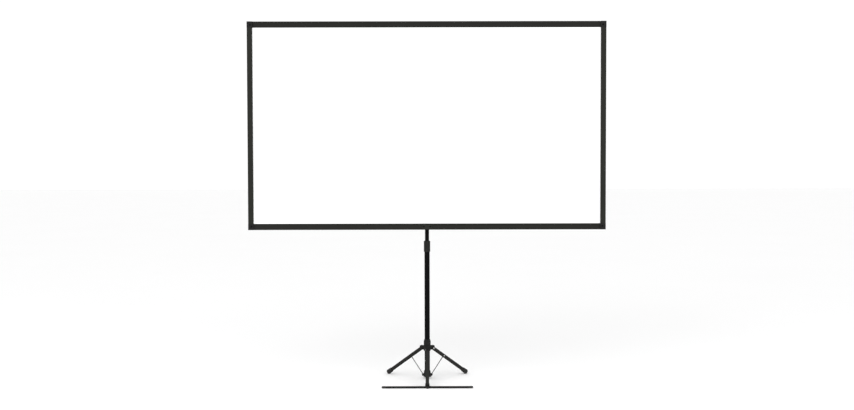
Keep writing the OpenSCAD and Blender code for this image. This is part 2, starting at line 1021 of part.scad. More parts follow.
module inner_link_top_right() inner_link(1, pivot_high);
module inner_link_top_left() inner_link(-1, pivot_high);
module inner_link_bottom_right() inner_link(1, pivot_low);
module inner_link_bottom_left() inner_link(-1, pivot_low);
module outer_link_top_right() outer_link(1, pivot_high);
module outer_link_top_left() outer_link(-1, pivot_high);
module outer_link_bottom_right() outer_link(1, pivot_low);
module outer_link_bottom_left() outer_link(-1, pivot_low);

// Side casings

// Places a right-hand part, or its mirror image on the left
module at_bar(side) {
    at_cloth()
        mirror([side > 0 ? 0 : 1, 0, 0])
            translate([bar_x, 0, 0])
                children();
}

// The slot in the inner wall that the cloth comes out of
module cloth_slot(z0, z1) {
    box([-bar_w / 2 - over, -slot_h / 2, z0], [-bar_w / 2 + bar_wall + over, slot_h / 2, z1]);
}

module casing(side) {
    z0 = frame_z + border_h;
    z1 = frame_top - border_h;
    color(charcoal)
        at_bar(side)
            difference() {
                box([-bar_w / 2, -bar_front, z0], [bar_w / 2, bar_back, z1]);
                box([-bar_w / 2 + bar_wall, -bar_front + bar_wall, z0 - over],
                    [bar_w / 2 - bar_wall, bar_back - bar_wall, z1 + over]);
                cloth_slot(z0 - over, z1 + over);
            }
}

// A corner cap closes the casing, bears the roller and carries the corner pivot
module corner_cap() {
    difference() {
        box([-bar_w / 2, -bar_front, 0], [bar_w / 2, bar_back, border_h]);
        box([-bar_w / 2 + cap_wall, -bar_front + cap_wall, cap_floor],
            [bar_w / 2 - cap_wall, bar_back - cap_back, border_h + over]);
        box([-bar_w / 2 - over, -slot_h / 2, cloth_inset - free_gap],
            [free_gap, slot_h / 2, border_h + over]);
        translate([0, roller_y, -over])
            cylinder(r = gudgeon_r + run_gap, h = cap_floor + 2 * over);
        translate([0, 0, corner_drop])
            y_rod(arm_pin_d / 2 + seat_gap, bar_back - cap_back - over, bar_back + over);
        translate([-cap_screw_in, -bar_front, cap_screw_z]) {
            y_rod(screw_head_r + seat_gap, -over, cap_recess);
            y_rod(screw_r + seat_gap, -over, cap_wall + over);
        }
    }
}

module corner_caps(side) {
    color(black)
        at_bar(side) {
            translate([0, 0, frame_z])
                corner_cap();
            translate([0, 0, frame_top])
                mirror([0, 0, 1])
                    corner_cap();
        }
}

// A pivot pin at the back of each cap and a blind screw in its front
module corner_pins(side) {
    sunk = 0.2;
    color(steel)
        at_bar(side) {
            for (z = [pivot_low, pivot_high])
                translate([0, 0, z]) {
                    y_rod(arm_pin_d / 2, bar_back - cap_back, outer_y + link_t + free_gap);
                    y_rod(arm_pin_d / 2 + washer_lip, bar_back, outer_y - free_gap);
                    y_rod(arm_pin_d / 2 + washer_lip, outer_y + link_t + free_gap,
                          outer_y + link_t + free_gap + pin_head_h);
                }
            for (z = [frame_z + cap_screw_z, frame_top - cap_screw_z])
                translate([-cap_screw_in, -bar_front, z]) {
                    y_rod(screw_r, cap_recess, cap_wall);
                    y_rod(screw_head_r, sunk, cap_recess);
                }
        }
}

module roller(side) {
    z0 = frame_z + cap_floor + free_gap;
    z1 = frame_top - cap_floor - free_gap;
    plug_h = 10;
    color(silver)
        at_bar(side)
            translate([0, roller_y, 0]) {
                ring(roller_r, roller_r - roller_wall, z0, z1);
                for (z = [z0 - gudgeon_h, z1])
                    translate([0, 0, z])
                        cylinder(r = gudgeon_r, h = gudgeon_h);
                for (z = [z0, z1 - plug_h])
                    translate([0, 0, z])
                        cylinder(r = roller_r - roller_wall / 2, h = plug_h);
            }
}

// Cloth that stays wound on the roller when the screen is open
module roller_wraps(side) {
    inset = 6;
    color(white)
        at_bar(side)
            translate([0, roller_y, 0])
                ring(wound_r - seat_gap, roller_r + seat_gap, frame_z + inset, frame_top - inset);
}

module casing_right() casing(1);
module casing_left() casing(-1);
module corner_caps_right() corner_caps(1);
module corner_caps_left() corner_caps(-1);
module corner_pins_right() corner_pins(1);
module corner_pins_left() corner_pins(-1);
module roller_right() roller(1);
module roller_left() roller(-1);
module roller_wraps_right() roller_wraps(1);
module roller_wraps_left() roller_wraps(-1);

lower_tube();
tube_end_plug();
tube_bush();
clamp_base();
clamp_collet();
clamp_grip();
leg_hub();
hub_hinge_pins();
hub_lock_screw();
hub_lock_knob();
foot_spider();
spider_rivets();
leg_front();
leg_right();
leg_left();
strut_pin_front();
strut_pin_right();
strut_pin_left();
strut_front();
strut_right();
strut_left();
foot_right();
foot_left();
front_fitting();
fitting_pins();
arm_right();
arm_left();
arm_tip_right();
arm_tip_left();
upper_tube();
pole_guide();
spine();
spine_cap();
pole_socket();
top_bracket();
bottom_bracket();
bracket_pins();
cloth_clamp_plate();
clamp_plate_screws();
screen_cloth();
border_top();
border_bottom();
inner_link_top_right();
inner_link_top_left();
inner_link_bottom_right();
inner_link_bottom_left();
outer_link_top_right();
outer_link_top_left();
outer_link_bottom_right();
outer_link_bottom_left();
casing_right();
casing_left();
corner_caps_right();
corner_caps_left();
corner_pins_right();
corner_pins_left();
roller_right();
roller_left();
roller_wraps_right();
roller_wraps_left();
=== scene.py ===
"""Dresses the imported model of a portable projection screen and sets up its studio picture.

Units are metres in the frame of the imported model: X to the right, Y to the back, Z up, floor at 0.
"""

import json
import logging
import math
from dataclasses import dataclass
from enum import Enum
from typing import ClassVar, Sequence, Union

import bmesh
import bpy
import numpy as np
from mathutils import Matrix, Vector

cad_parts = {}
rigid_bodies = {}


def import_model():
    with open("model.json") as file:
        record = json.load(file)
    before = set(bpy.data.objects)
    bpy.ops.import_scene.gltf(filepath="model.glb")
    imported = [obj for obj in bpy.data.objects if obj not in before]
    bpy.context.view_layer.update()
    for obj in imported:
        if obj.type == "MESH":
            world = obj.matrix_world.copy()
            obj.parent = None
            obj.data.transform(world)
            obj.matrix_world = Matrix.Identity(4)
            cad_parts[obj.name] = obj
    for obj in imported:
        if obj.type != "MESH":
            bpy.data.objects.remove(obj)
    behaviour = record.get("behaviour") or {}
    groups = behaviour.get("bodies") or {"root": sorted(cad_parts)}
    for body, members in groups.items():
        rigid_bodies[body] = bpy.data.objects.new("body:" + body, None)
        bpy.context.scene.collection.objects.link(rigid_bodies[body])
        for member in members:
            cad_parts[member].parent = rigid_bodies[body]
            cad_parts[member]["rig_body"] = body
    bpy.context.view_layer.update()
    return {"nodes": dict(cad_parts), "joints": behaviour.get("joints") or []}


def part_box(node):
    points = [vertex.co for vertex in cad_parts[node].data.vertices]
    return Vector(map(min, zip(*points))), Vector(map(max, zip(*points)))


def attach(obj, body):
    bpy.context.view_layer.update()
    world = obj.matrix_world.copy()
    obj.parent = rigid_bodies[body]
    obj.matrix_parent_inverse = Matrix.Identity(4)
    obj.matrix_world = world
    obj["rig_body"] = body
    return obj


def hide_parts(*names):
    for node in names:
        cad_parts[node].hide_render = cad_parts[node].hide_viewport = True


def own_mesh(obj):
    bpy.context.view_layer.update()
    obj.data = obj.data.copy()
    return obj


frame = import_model()
LOG = logging.getLogger("screen")
Array = np.ndarray
Colour = tuple[float, float, float]
MM = 0.001


# Shader maths

class Value:
    """A shader output, or a number, that takes part in Python expressions."""

    def __init__(self, shade: "Shade", link: bpy.types.NodeSocket) -> None:
        """Wraps one output socket."""
        self.shade = shade
        self.link = link

    def __add__(self, other: "Term") -> "Value":
        """Sum."""
        return self.shade.maths("ADD", self, other)

    def __sub__(self, other: "Term") -> "Value":
        """Difference."""
        return self.shade.maths("SUBTRACT", self, other)

    def __rsub__(self, other: "Term") -> "Value":
        """Difference with the value on the right."""
        return self.shade.maths("SUBTRACT", other, self)

    def __mul__(self, other: "Term") -> "Value":
        """Product."""
        return self.shade.maths("MULTIPLY", self, other)

    __radd__ = __add__
    __rmul__ = __mul__

    def clamped(self, low: float, high: float) -> "Value":
        """A soft step of this value from 0 at low to 1 at high."""
        return self.shade.node("ShaderNodeMapRange", {"interpolation_type": "SMOOTHSTEP"},
                               {"Value": self, "From Min": low, "From Max": high})

    def wave(self, pitch: float) -> "Value":
        """A sine of this value, between 0 and 1, with the given pitch."""
        return self.shade.maths("SINE", self * (2 * math.pi / pitch), 0.0) * 0.5 + 0.5


Term = Union[Value, float]


class Shade:
    """A new material whose nodes are made by expressions."""

    def __init__(self, name: str) -> None:
        """Makes an empty Principled material.

        Args:
            name: the material's name.
        """
        self.material = bpy.data.materials.new(name)
        self.material.use_nodes = True
        self.tree = self.material.node_tree
        self.surface = self.tree.nodes["Principled BSDF"]
        self.place = self.node("ShaderNodeTexCoord", {}, {}, "Object")

    def put(self, socket: bpy.types.NodeSocket, term: Union[Term, Sequence[float]]) -> None:
        """Links or sets one input socket.

        Args:
            socket: the input.
            term: the value to link, or the number, vector or colour to set.
        """
        if isinstance(term, Value):
            self.tree.links.new(term.link, socket)
        else:
            socket.default_value = term

    def node(self, kind: str, settings: dict, sockets: dict, out: Union[str, int] = 0) -> Value:
        """Adds a node.

        Args:
            kind: the node's type.
            settings: its attributes, set first.
            sockets: values or links of its inputs, by name or number.
            out: the output that is wanted.

        Returns:
            The chosen output.
        """
        made = self.tree.nodes.new(kind)
        for key, setting in settings.items():
            setattr(made, key, setting)
        for key, term in sockets.items():
            self.put(made.inputs[key], term)
        return Value(self, made.outputs[out])

    def maths(self, operation: str, a: Term, b: Term) -> Value:
        """One Math node."""
        return self.node("ShaderNodeMath", {"operation": operation}, {0: a, 1: b})

    def axis(self, letter: str) -> Value:
        """One coordinate of the object."""
        return self.node("ShaderNodeSeparateXYZ", {}, {0: self.place}, letter)

    def stretched(self, x: float, y: float, z: float) -> Value:
        """Object coordinates, each times its own factor."""
        return self.node("ShaderNodeVectorMath", {"operation": "MULTIPLY"},
                         {0: self.place, 1: (x, y, z)})

    def noise(self, scale: float, detail: float, place: Union[Value, None] = None) -> Value:
        """Soft noise between 0 and 1, with scale cells in a metre."""
        return self.node("ShaderNodeTexNoise", {},
                         {"Vector": place or self.place, "Scale": scale, "Detail": detail})

    def blend(self, mask: Term, dark: Union[Value, Colour], light: Union[Value, Colour]) -> Value:
        """A colour between two colours.

        Args:
            mask: 0 gives the dark colour and 1 the light one.
            dark: the first colour.
            light: the second colour.

        Returns:
            The mixed colour.
        """
        made = self.tree.nodes.new("ShaderNodeMix")
        made.data_type = "RGBA"
        self.put(made.inputs[0], mask)
        for socket, colour in ((made.inputs[6], dark), (made.inputs[7], light)):
            self.put(socket, colour if isinstance(colour, Value) else (*colour, 1.0))
        return Value(self, made.outputs[2])

    def bump(self, height: Value, depth: float, strength: float) -> Value:
        """The normal of a surface with the given relief, depth metres deep."""
        return self.node("ShaderNodeBump", {},
                         {"Height": height, "Distance": depth, "Strength": strength}, "Normal")

    def finish(self, **sockets: Union[Term, Sequence[float]]) -> bpy.types.Material:
        """Sets the inputs of the surface.

        Args:
            sockets: a link, a number or a colour for each input, with _ for a space in its name.

        Returns:
            The material.
        """
        for name, term in sockets.items():
            self.put(self.surface.inputs[name.replace("_", " ")], term)
        return self.material


def tint(colour: Colour, factor: float) -> Colour:
    """A colour made lighter or darker."""
    return tuple(min(1.0, part * factor) for part in colour)


# Finishes

@dataclass(frozen=True)
class Dressed:
    """A finish whose material is made once and then shared."""

    name: str
    slot: str
    colour: Colour
    made: ClassVar[dict] = {}

    def material(self) -> bpy.types.Material:
        """Makes the material at the first call.

        Returns:
            The material of this finish.
        """
        if self not in Dressed.made:
            Dressed.made[self] = self.mix(Shade(self.name))
        return Dressed.made[self]

    def mix(self, shade: Shade) -> bpy.types.Material:
        """Makes the nodes.

        Args:
            shade: an empty material.

        Returns:
            The finished material.
        """
        raise NotImplementedError


@dataclass(frozen=True)
class PowderCoat(Dressed):
    """Satin powder coat: fine orange peel, slow drift of tone, faint scuffs."""

    roughness: float
    specular: float

    def mix(self, shade: Shade) -> bpy.types.Material:
        """Peel is noise of 1 mm cells, and scuffs are noise drawn out along Z.

        Args:
            shade: an empty material.

        Returns:
            The finished material.
        """
        drift = shade.noise(9.0, 3.0)
        peel = shade.noise(1100.0, 2.0)
        scuff = shade.noise(60.0, 6.0, shade.stretched(9.0, 9.0, 1.0)).clamped(0.62, 0.74)
        tone = shade.blend(drift, tint(self.colour, 0.86), tint(self.colour, 1.14))
        return shade.finish(
            Base_Color=shade.blend(scuff * 0.35, tone, tint(self.colour, 1.9)),
            Roughness=peel * 0.10 + scuff * 0.12 + (self.roughness - 0.05),
            Specular_IOR_Level=self.specular,
            Normal=shade.bump(peel, 0.06 * MM, 0.5))


@dataclass(frozen=True)
class Moulded(Dressed):
    """Glass-filled plastic: spark-eroded grain, a cloudy tone and rubbed high spots."""

    roughness: float
    specular: float
    grain: float = 1700.0

    def mix(self, shade: Shade) -> bpy.types.Material:
        """Grain is fine noise, cloud is coarse noise and rubbing is noise above a level.

        Args:
            shade: an empty material.

        Returns:
            The finished material.
        """
        cloud = shade.noise(28.0, 4.0)
        grain = shade.noise(self.grain, 3.0)
        rubbed = shade.noise(140.0, 5.0).clamped(0.6, 0.8)
        tone = shade.blend(cloud, tint(self.colour, 0.82), tint(self.colour, 1.18))
        return shade.finish(
            Base_Color=shade.blend(rubbed * 0.4, tone, tint(self.colour, 1.5)),
            Roughness=grain * 0.12 - rubbed * 0.10 + (self.roughness - 0.04),
            Specular_IOR_Level=self.specular,
            Normal=shade.bump(grain, 0.09 * MM, 0.6))


@dataclass(frozen=True)
class Rubber(Dressed):
    """Matte rubber with a pale bloom and dust near the floor."""

    def mix(self, shade: Shade) -> bpy.types.Material:
        """Dust fades out over the lowest 8 mm above the floor.

        Args:
            shade: an empty material.

        Returns:
            The finished material.
        """
        bloom = shade.noise(75.0, 5.0)
        pores = shade.noise(900.0, 2.0)
        dust = (1.0 - shade.axis("Z").clamped(0.0, 8 * MM)) * shade.noise(400.0, 3.0)
        tone = shade.blend(bloom, tint(self.colour, 0.8), tint(self.colour, 1.25))
        return shade.finish(
            Base_Color=shade.blend(dust * 0.5, tone, (0.16, 0.155, 0.14)),
            Roughness=bloom * 0.12 + 0.72,
            Specular_IOR_Level=0.25,
            Normal=shade.bump(pores + bloom, 0.08 * MM, 0.5))


class Grain(Enum):
    """The way in which a metal was drawn or brushed."""

    ALONG_Z = (40.0, 40.0, 1.0)
    NONE = (1.0, 1.0, 1.0)


@dataclass(frozen=True)
class Metal(Dressed):
    """Metal with drawing lines and a thin haze."""

    roughness: float
    metallic: float = 1.0
    grain: Grain = Grain.NONE
    specular: float = 0.5

    def mix(self, shade: Shade) -> bpy.types.Material:
        """Lines are noise squeezed across the drawing direction, and haze is slow noise.

        Args:
            shade: an empty material.

        Returns:
            The finished material.
        """
        place = shade.stretched(*self.grain.value)
        lines = shade.noise(55.0 if self.grain is not Grain.NONE else 700.0, 4.0, place)
        haze = shade.noise(22.0, 3.0)
        tone = shade.blend(haze, tint(self.colour, 0.88), tint(self.colour, 1.1))
        return shade.finish(
            Base_Color=shade.blend(lines, tint(self.colour, 0.8), tone),
            Roughness=lines * 0.16 + haze * 0.08 + (self.roughness - 0.12),
            Metallic=self.metallic,
            Specular_IOR_Level=self.specular,
            Normal=shade.bump(lines, 0.03 * MM, 0.4))


@dataclass(frozen=True)
class ScreenFace(Dressed):
    """Matte white screen cloth with a black border above and below, and a fine weave."""

    black: Colour
    low: float
    high: float

    def mix(self, shade: Shade) -> bpy.types.Material:
        """The border is a mask on the height, and the weave is two crossed sines 0.6 mm apart.

        Args:
            shade: an empty material.

        Returns:
            The finished material.
        """
        z = shade.axis("Z")
        pitch = edge = 0.6 * MM
        above = z.clamped(self.high, self.high + edge)
        inside = z.clamped(self.low - edge, self.low) * (1.0 - above)
        weave = shade.axis("X").wave(pitch) * z.wave(pitch)
        cloud = shade.noise(3.0, 3.0)
        white = shade.blend(cloud, tint(self.colour, 0.985), self.colour)
        black = shade.blend(cloud, tint(self.black, 0.85), tint(self.black, 1.15))
        return shade.finish(
            Base_Color=shade.blend(inside, black, white),
            Roughness=weave * 0.06 + 0.86,
            Specular_IOR_Level=0.12,
            Normal=shade.bump(weave + shade.noise(300.0, 2.0) * 0.5, 0.03 * MM, 0.35))


@dataclass(frozen=True)
class Backing(Dressed):
    """The black coated back of the cloth, with the weave showing through."""

    def mix(self, shade: Shade) -> bpy.types.Material:
        """The weave is coarser than in front, and slow noise gives the coating its streaks.

        Args:
            shade: an empty material.

        Returns:
            The finished material.
        """
        pitch = 0.9 * MM
        weave = shade.axis("X").wave(pitch) * shade.axis("Z").wave(pitch)
        streak = shade.noise(6.0, 4.0, shade.stretched(4.0, 1.0, 1.0))
        return shade.finish(
            Base_Color=shade.blend(streak, tint(self.colour, 0.8), tint(self.colour, 1.3)),
            Roughness=weave * 0.1 + 0.66,
            Specular_IOR_Level=0.25,
            Normal=shade.bump(weave, 0.04 * MM, 0.5))


# Shapes: every surface is an array of points [row, column, xyz]

Corners = Sequence[tuple[float, float, float]]


def arc_corners(corners: Corners, steps: int = 6) -> Array:
    """A closed flat outline whose corners are rounded.

    At a corner with radius r the outline leaves the incoming side r / tan(half angle) before
    the corner, turns on a circle of radius r, and meets the outgoing side as far after it.

    Args:
        corners: (u, v, radius) in order.
        steps: points on each rounded corner.

    Returns:
        The points (n, 2).
    """
    pts = np.array([corner[:2] for corner in corners], float)
    out = []
    for i, (_, _, radius) in enumerate(corners):
        if radius <= 0:
            out.append(pts[i:i + 1])
            continue
        back, ahead = pts[i - 1] - pts[i], pts[(i + 1) % len(pts)] - pts[i]
        back, ahead = back / np.linalg.norm(back), ahead / np.linalg.norm(ahead)
        half = np.arccos(np.clip(back @ ahead, -1, 1)) / 2
        middle = pts[i] + (back + ahead) / np.linalg.norm(back + ahead) * radius / np.sin(half)
        start, end = (pts[i] + side * radius / np.tan(half) - middle for side in (back, ahead))
        a, b = np.arctan2(start[1], start[0]), np.arctan2(end[1], end[0])
        turn = (b - a + np.pi) % (2 * np.pi) - np.pi
        angles = a + turn * np.linspace(0, 1, steps)
        out.append(middle + radius * np.stack([np.cos(angles), np.sin(angles)], 1))
    return np.concatenate(out)


def around(steps: int) -> Array:
    """The angles of the columns of a surface that goes once round an axis."""
    return np.linspace(0, 2 * np.pi, steps, endpoint=False)


def revolved(profile: Array, steps: int, swell: Union[Array, float] = 0.0) -> Array:
    """A profile turned about Z: x = r cos(a) and y = r sin(a) at the angle a.

    Args:
        profile: the radius and the height of each row (n, 2).
        steps: columns round the axis.
        swell: what is added to the radius r, for each row and column.

    Returns:
        The surface.
    """
    angle = around(steps)
    radius = profile[:, :1] + np.broadcast_to(swell, (len(profile), steps))
    height = np.broadcast_to(profile[:, 1:], radius.shape)
    return np.stack([radius * np.cos(angle), radius * np.sin(angle), height], -1)


def extruded(outline: Array, heights: Sequence[float],
             insets: Union[Array, float] = 0.0) -> Array:
    """An outline carried along Z, drawn in by an inset at each height.

    The inset moves each point along the mean of the normals of its two sides.

    Args:
        outline: the points (n, 2) in order.
        heights: the height of each row.
        insets: the inset of each row.

    Returns:
        The surface.
    """
    side = np.roll(outline, -1, 0) - outline
    side = side / np.maximum(np.linalg.norm(side, axis=1, keepdims=True), 1e-12)
    normal = np.stack([side[:, 1], -side[:, 0]], 1)
    after = np.roll(outline, -1, 0)
    area = np.sum(outline[:, 0] * after[:, 1] - outline[:, 1] * after[:, 0])
    outward = (normal + np.roll(normal, 1, 0)) * np.sign(area)
    outward = outward / np.maximum(np.linalg.norm(outward, axis=1, keepdims=True), 1e-12)
    flat = outline - outward * np.broadcast_to(insets, len(heights))[:, None, None]
    tall = np.broadcast_to(np.array(heights)[:, None, None], flat.shape[:2] + (1,))
    return np.concatenate([flat, tall], -1)


def slab(outline: Array, low: float, high: float, edge: float) -> Array:
    """An outline made into a plate whose edges are rounded to a quarter circle.

    Args:
        outline: the points (n, 2) in order.
        low: height of the lower face.
        high: height of the upper face.
        edge: radius of the edges.

    Returns:
        The surface.
    """
    t = np.linspace(0, np.pi / 2, 4)
    insets = np.concatenate([edge * (1 - np.sin(t)), edge * (1 - np.cos(t))])
    heights = np.concatenate([low + edge * (1 - np.cos(t)), high - edge * (1 - np.sin(t))])
    return extruded(outline, heights, insets)


@dataclass(frozen=True)
class Axes:
    """A place for a piece: an origin and the directions of its own X, Y and Z."""

    origin: Array
    basis: Array

    @staticmethod
    def along(origin: Sequence[float], z: Sequence[float],
              x: Sequence[float] = (0.0, 0.0, 1.0)) -> "Axes":
        """Axes whose Z points along z and whose X is as near to x as it can be.

        Args:
            origin: the place of the piece.
            z: the direction of its Z.
            x: the direction that its X comes near to.

        Returns:
            The axes, of unit length and square to each other.
        """
        up = np.array(z, float) / np.linalg.norm(z)
        side = np.array(x, float) - up * np.dot(x, up)
        side = side / np.linalg.norm(side)
        return Axes(np.array(origin, float), np.stack([side, np.cross(up, side), up]))

    def raised(self, z: float) -> "Axes":
        """The same axes with the origin moved along Z."""
        return Axes(self.origin + z * self.basis[2], self.basis)

    def lay(self, points: Array) -> Array:
        """Points of the piece in the frame of the model."""
        return points @ self.basis + self.origin


UPRIGHT = Axes.along((0, 0, 0), (0, 0, 1), (1, 0, 0))


class Piece:
    """A mesh that is put together from surfaces and then dressed."""

    def __init__(self, name: str) -> None:
        """Starts an empty piece.

        Args:
            name: the name of its object and its mesh.
        """
        self.name = name
        self.points: list[Array] = []
        self.faces: list[list[int]] = []
        self.count = 0

    def add(self, surface: Array, axes: Axes = UPRIGHT, ring: bool = False) -> "Piece":
        """Adds a closed surface.

        Columns always join up. Rows join up too in a ring, and otherwise the first and last row
        are closed by one flat face each. The surface is turned right side out by its volume.

        Args:
            surface: the points [row, column, xyz] in the piece's own axes.
            axes: where they go.
            ring: whether the last row joins the first.

        Returns:
            The piece itself.
        """
        rows, cols = surface.shape[:2]
        pts = axes.lay(surface)
        index = np.arange(rows * cols).reshape(rows, cols)
        low = index if ring else index[:-1]
        high = np.roll(index, -1, 0) if ring else index[1:]
        quads = np.stack([low, np.roll(low, -1, 1), np.roll(high, -1, 1), high], -1).reshape(-1, 4)
        flat = pts.reshape(-1, 3)
        a, b, c, d = (flat[quads[:, k]] for k in range(4))
        volume = np.sum(np.cross(a, b) * c) + np.sum(np.cross(a, c) * d)
        caps: list[Array] = []
        if not ring:
            caps = [index[0][::-1], index[-1]]
            for cap in caps:
                first, rest = flat[cap[0]], flat[cap[1:]]
                volume += np.sum(np.cross(first, rest[:-1]) * rest[1:])
        turn = 1 if volume > 0 else -1
        self.faces += [list(map(int, face[::turn] + self.count)) for face in (*quads, *caps)]
        self.points.append(flat)
        self.count += rows * cols
        return self

    def made(self, finish: Dressed, node: str, sharp: float = 38.0) -> None:
        """Makes the object.

        Args:
            finish: its finish.
            node: the CAD node that it replaces.
            sharp: edges above this angle, in degrees, stay sharp.
        """
        mesh = bpy.data.meshes.new(self.name)
        mesh.from_pydata(np.concatenate(self.points), [], self.faces)
        settle(mesh, finish, (node,), sharp)


def linked(name: str, data: bpy.types.ID) -> bpy.types.Object:
    """Puts a new object in the scene.

    Args:
        name: its name.
        data: its mesh, camera or light.

    Returns:
        The object.
    """
    thing = bpy.data.objects.new(name, data)
    bpy.context.scene.collection.objects.link(thing)
    return thing


def settle(mesh: bpy.types.Mesh, finish: Dressed, nodes: Sequence[str],
           sharp: float) -> bpy.types.Object:
    """Gives a finished mesh its object, finish and body.

    Args:
        mesh: the mesh, which has the name of the piece.
        finish: its finish.
        nodes: the CAD nodes that it replaces. It rides on the body of the first.
        sharp: edges above this angle, in degrees, stay sharp.

    Returns:
        The object.
    """
    mesh.validate()
    mesh.shade_smooth()
    mesh.set_sharp_from_angle(angle=math.radians(sharp))
    mesh.materials.append(finish.material())
    thing = linked(mesh.name, mesh)
    body = frame["nodes"][nodes[0]]["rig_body"]
    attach(thing, body)
    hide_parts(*nodes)
    LOG.info("%s: %d faces on %s", mesh.name, len(mesh.polygons), body)
    return thing


def eased(node: str, finish: Dressed, edge: float) -> None:
    """Makes a copy of a CAD node with merged triangles and broken edges.

    Args:
        node: the CAD node.
        finish: its finish.
        edge: width of the broken edges.
    """
    sharp = 32.0
    work = bmesh.new()
    work.from_mesh(frame["nodes"][node].data)
    bmesh.ops.remove_doubles(work, verts=work.verts, dist=2e-6)
    bmesh.ops.dissolve_limit(work, angle_limit=math.radians(1.0), verts=work.verts,
                             edges=work.edges, use_dissolve_boundaries=False)
    mesh = bpy.data.meshes.new(f"{node}_eased")
    work.to_mesh(mesh)
    work.free()
    thing = settle(mesh, finish, (node,), sharp)
    bevel = thing.modifiers.new("edges", "BEVEL")
    bevel.width = edge
    bevel.segments = 2
    bevel.limit_method = "ANGLE"
    bevel.angle_limit = math.radians(sharp)
    bevel.harden_normals = True


# Finishes of this screen

BLACK = PowderCoat("satin_black", "black_tube", (0.0038, 0.0038, 0.0040), 0.55, 0.035)
ARM = PowderCoat("satin_arm", "black_tube", (0.0180, 0.0180, 0.0175), 0.6, 0.04)
LEG = PowderCoat("leg_grey_black", "leg_paint", (0.0220, 0.0220, 0.0205), 0.6, 0.05)
CHARCOAL = PowderCoat("charcoal_anodised", "charcoal_aluminium", (0.0225, 0.0230, 0.0198), 0.6,
                      0.06)
GREY = Moulded("grey_nylon_grip", "grey_plastic", (0.0190, 0.0190, 0.0180), 0.6, 0.07)
HUB = Moulded("hub_nylon", "grey_plastic", (0.0145, 0.0145, 0.0140), 0.6, 0.07)
CAPS = Moulded("black_corner_plastic", "black_plastic", (0.0165, 0.0165, 0.0160), 0.55, 0.07)
NYLON = Moulded("dark_nylon", "nylon", (0.06, 0.06, 0.058), 0.4, 0.4, 2300.0)
BOOT = Rubber("boot_rubber", "rubber", (0.0205, 0.0205, 0.0195))
ROD = Metal("rod_steel", "rod_steel", (0.050, 0.050, 0.049), 0.45, 0.5, Grain.NONE, 0.3)
BRIGHT = Metal("zinc_rivet", "bright_steel", (0.50, 0.50, 0.49), 0.3)
BLACKENED = Metal("blackened_rivet", "black_plastic", (0.012, 0.012, 0.012), 0.5, 0.0,
                  Grain.NONE, 0.15)
BOLT = Metal("black_oxide_screw", "black_plastic", (0.0022, 0.0022, 0.0022), 0.45, 0.0,
             Grain.NONE, 0.03)
ROLLER = Metal("drawn_aluminium", "roller_aluminium", (0.62, 0.63, 0.64), 0.34, 1.0, Grain.ALONG_Z)
BACK = Backing("screen_back", "black_cloth", (0.022, 0.022, 0.022))
WOUND = Backing("wound_cloth", "black_cloth", (0.022, 0.022, 0.022))


def span(node: str) -> tuple[Array, Array]:
    """The lowest and highest corner of a CAD node."""
    low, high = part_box(node)
    return np.array(low), np.array(high)


def joint(name: str) -> tuple[Array, Array]:
    """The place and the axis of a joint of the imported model."""
    found = next(entry for entry in frame["joints"] if entry["name"] == name)
    return np.array(found["pos_m"], float), np.array(found["axis"], float)


def limit(name: str) -> float:
    """The upper limit of a joint that turns, in radians."""
    found = next(entry for entry in frame["joints"] if entry["name"] == name)
    return math.radians(found["range_deg"][1])


def radius_of(node: str) -> float:
    """Half the width of a round CAD node."""
    low, high = span(node)
    return (high[0] - low[0]) / 2


POLE = np.append(span("lower_tube")[0][:2] + span("lower_tube")[1][:2], 0.0) / 2
POLE_AXES = Axes.along(POLE, (0, 0, 1), (1, 0, 0))
POLE_R = radius_of("lower_tube")
FREE = 0.3 * MM     # gap round a part that moves
SEAT = 0.05 * MM    # gap round a part that is fixed
SIGN = {"right": 1.0, "left": -1.0}


def rivet(piece: Piece, axes: Axes, shank: float, head: float, ends: tuple[float, float],
          rise: float, top: bool) -> None:
    """Adds a rivet along the Z of its axes, with a domed head on one end.

    The head is a quarter ellipse from the rim up to a small flat.

    Args:
        piece: the piece that it becomes part of.
        axes: its place.
        shank: radius of the shank.
        head: radius of the head.
        ends: the heights of the shank's two ends.
        rise: height of the head.
        top: whether the head is on the upper end.
    """
    low, high = ends
    t = np.linspace(0.15, np.pi / 2 - 0.12, 5)
    dome = np.concatenate([[[head * 0.97, 0.0], [head, rise * 0.12]],
                           np.stack([head * np.cos(t), rise * np.sin(t)], 1)])
    neck = np.array([[shank, low], [shank, high]])
    profile = [neck, dome + [0, high]] if top else [(dome * [1, -1])[::-1] + [0, low], neck]
    piece.add(revolved(np.concatenate(profile), 40), axes)


@dataclass(frozen=True)
class HexScrew:
    """A screw that faces the viewer, with a hexagonal socket in its head."""

    height: float
    deep: float
    below: float
    radius: float = 4 * MM
    across: float = 3 * MM

    def add(self, piece: Piece, foot: Sequence[float]) -> None:
        """Adds a screw to a piece.

        The socket's wall lies at across / 2 / cos(a), where a is the angle from the nearest flat.

        Args:
            piece: the piece that it becomes part of.
            foot: the place of the foot of the head.
        """
        r, top = self.radius, self.height
        hexagon = self.across / 2 / np.cos((around(48) % (np.pi / 3)) - np.pi / 6)
        soft = 0.12 * top
        profile = np.array([
            (r / 2, -self.below), (r / 2, 0.0), (r, 0.0), (r, top - 2 * soft),
            (r - soft * 0.6, top - soft * 0.6), (r - 2 * soft, top), (soft, top),
            (0.0, top - soft / 2), (0.0, top - self.deep), (0.0, top - self.deep * 1.15)])
        share = np.array([0, 0, 0, 0, 0, 0, 1, 1, 1, 0.1])[:, None]
        piece.add(revolved(profile, 48, share * hexagon), Axes.along(foot, (0, -1, 0)))


def round_pole(name: str, corners: Corners, steps: int = 4) -> Piece:
    """A new piece with a ring round the pole, from the corners (radius, height, rounding)."""
    return Piece(name).add(revolved(arc_corners(corners, steps), 96), POLE_AXES, ring=True)


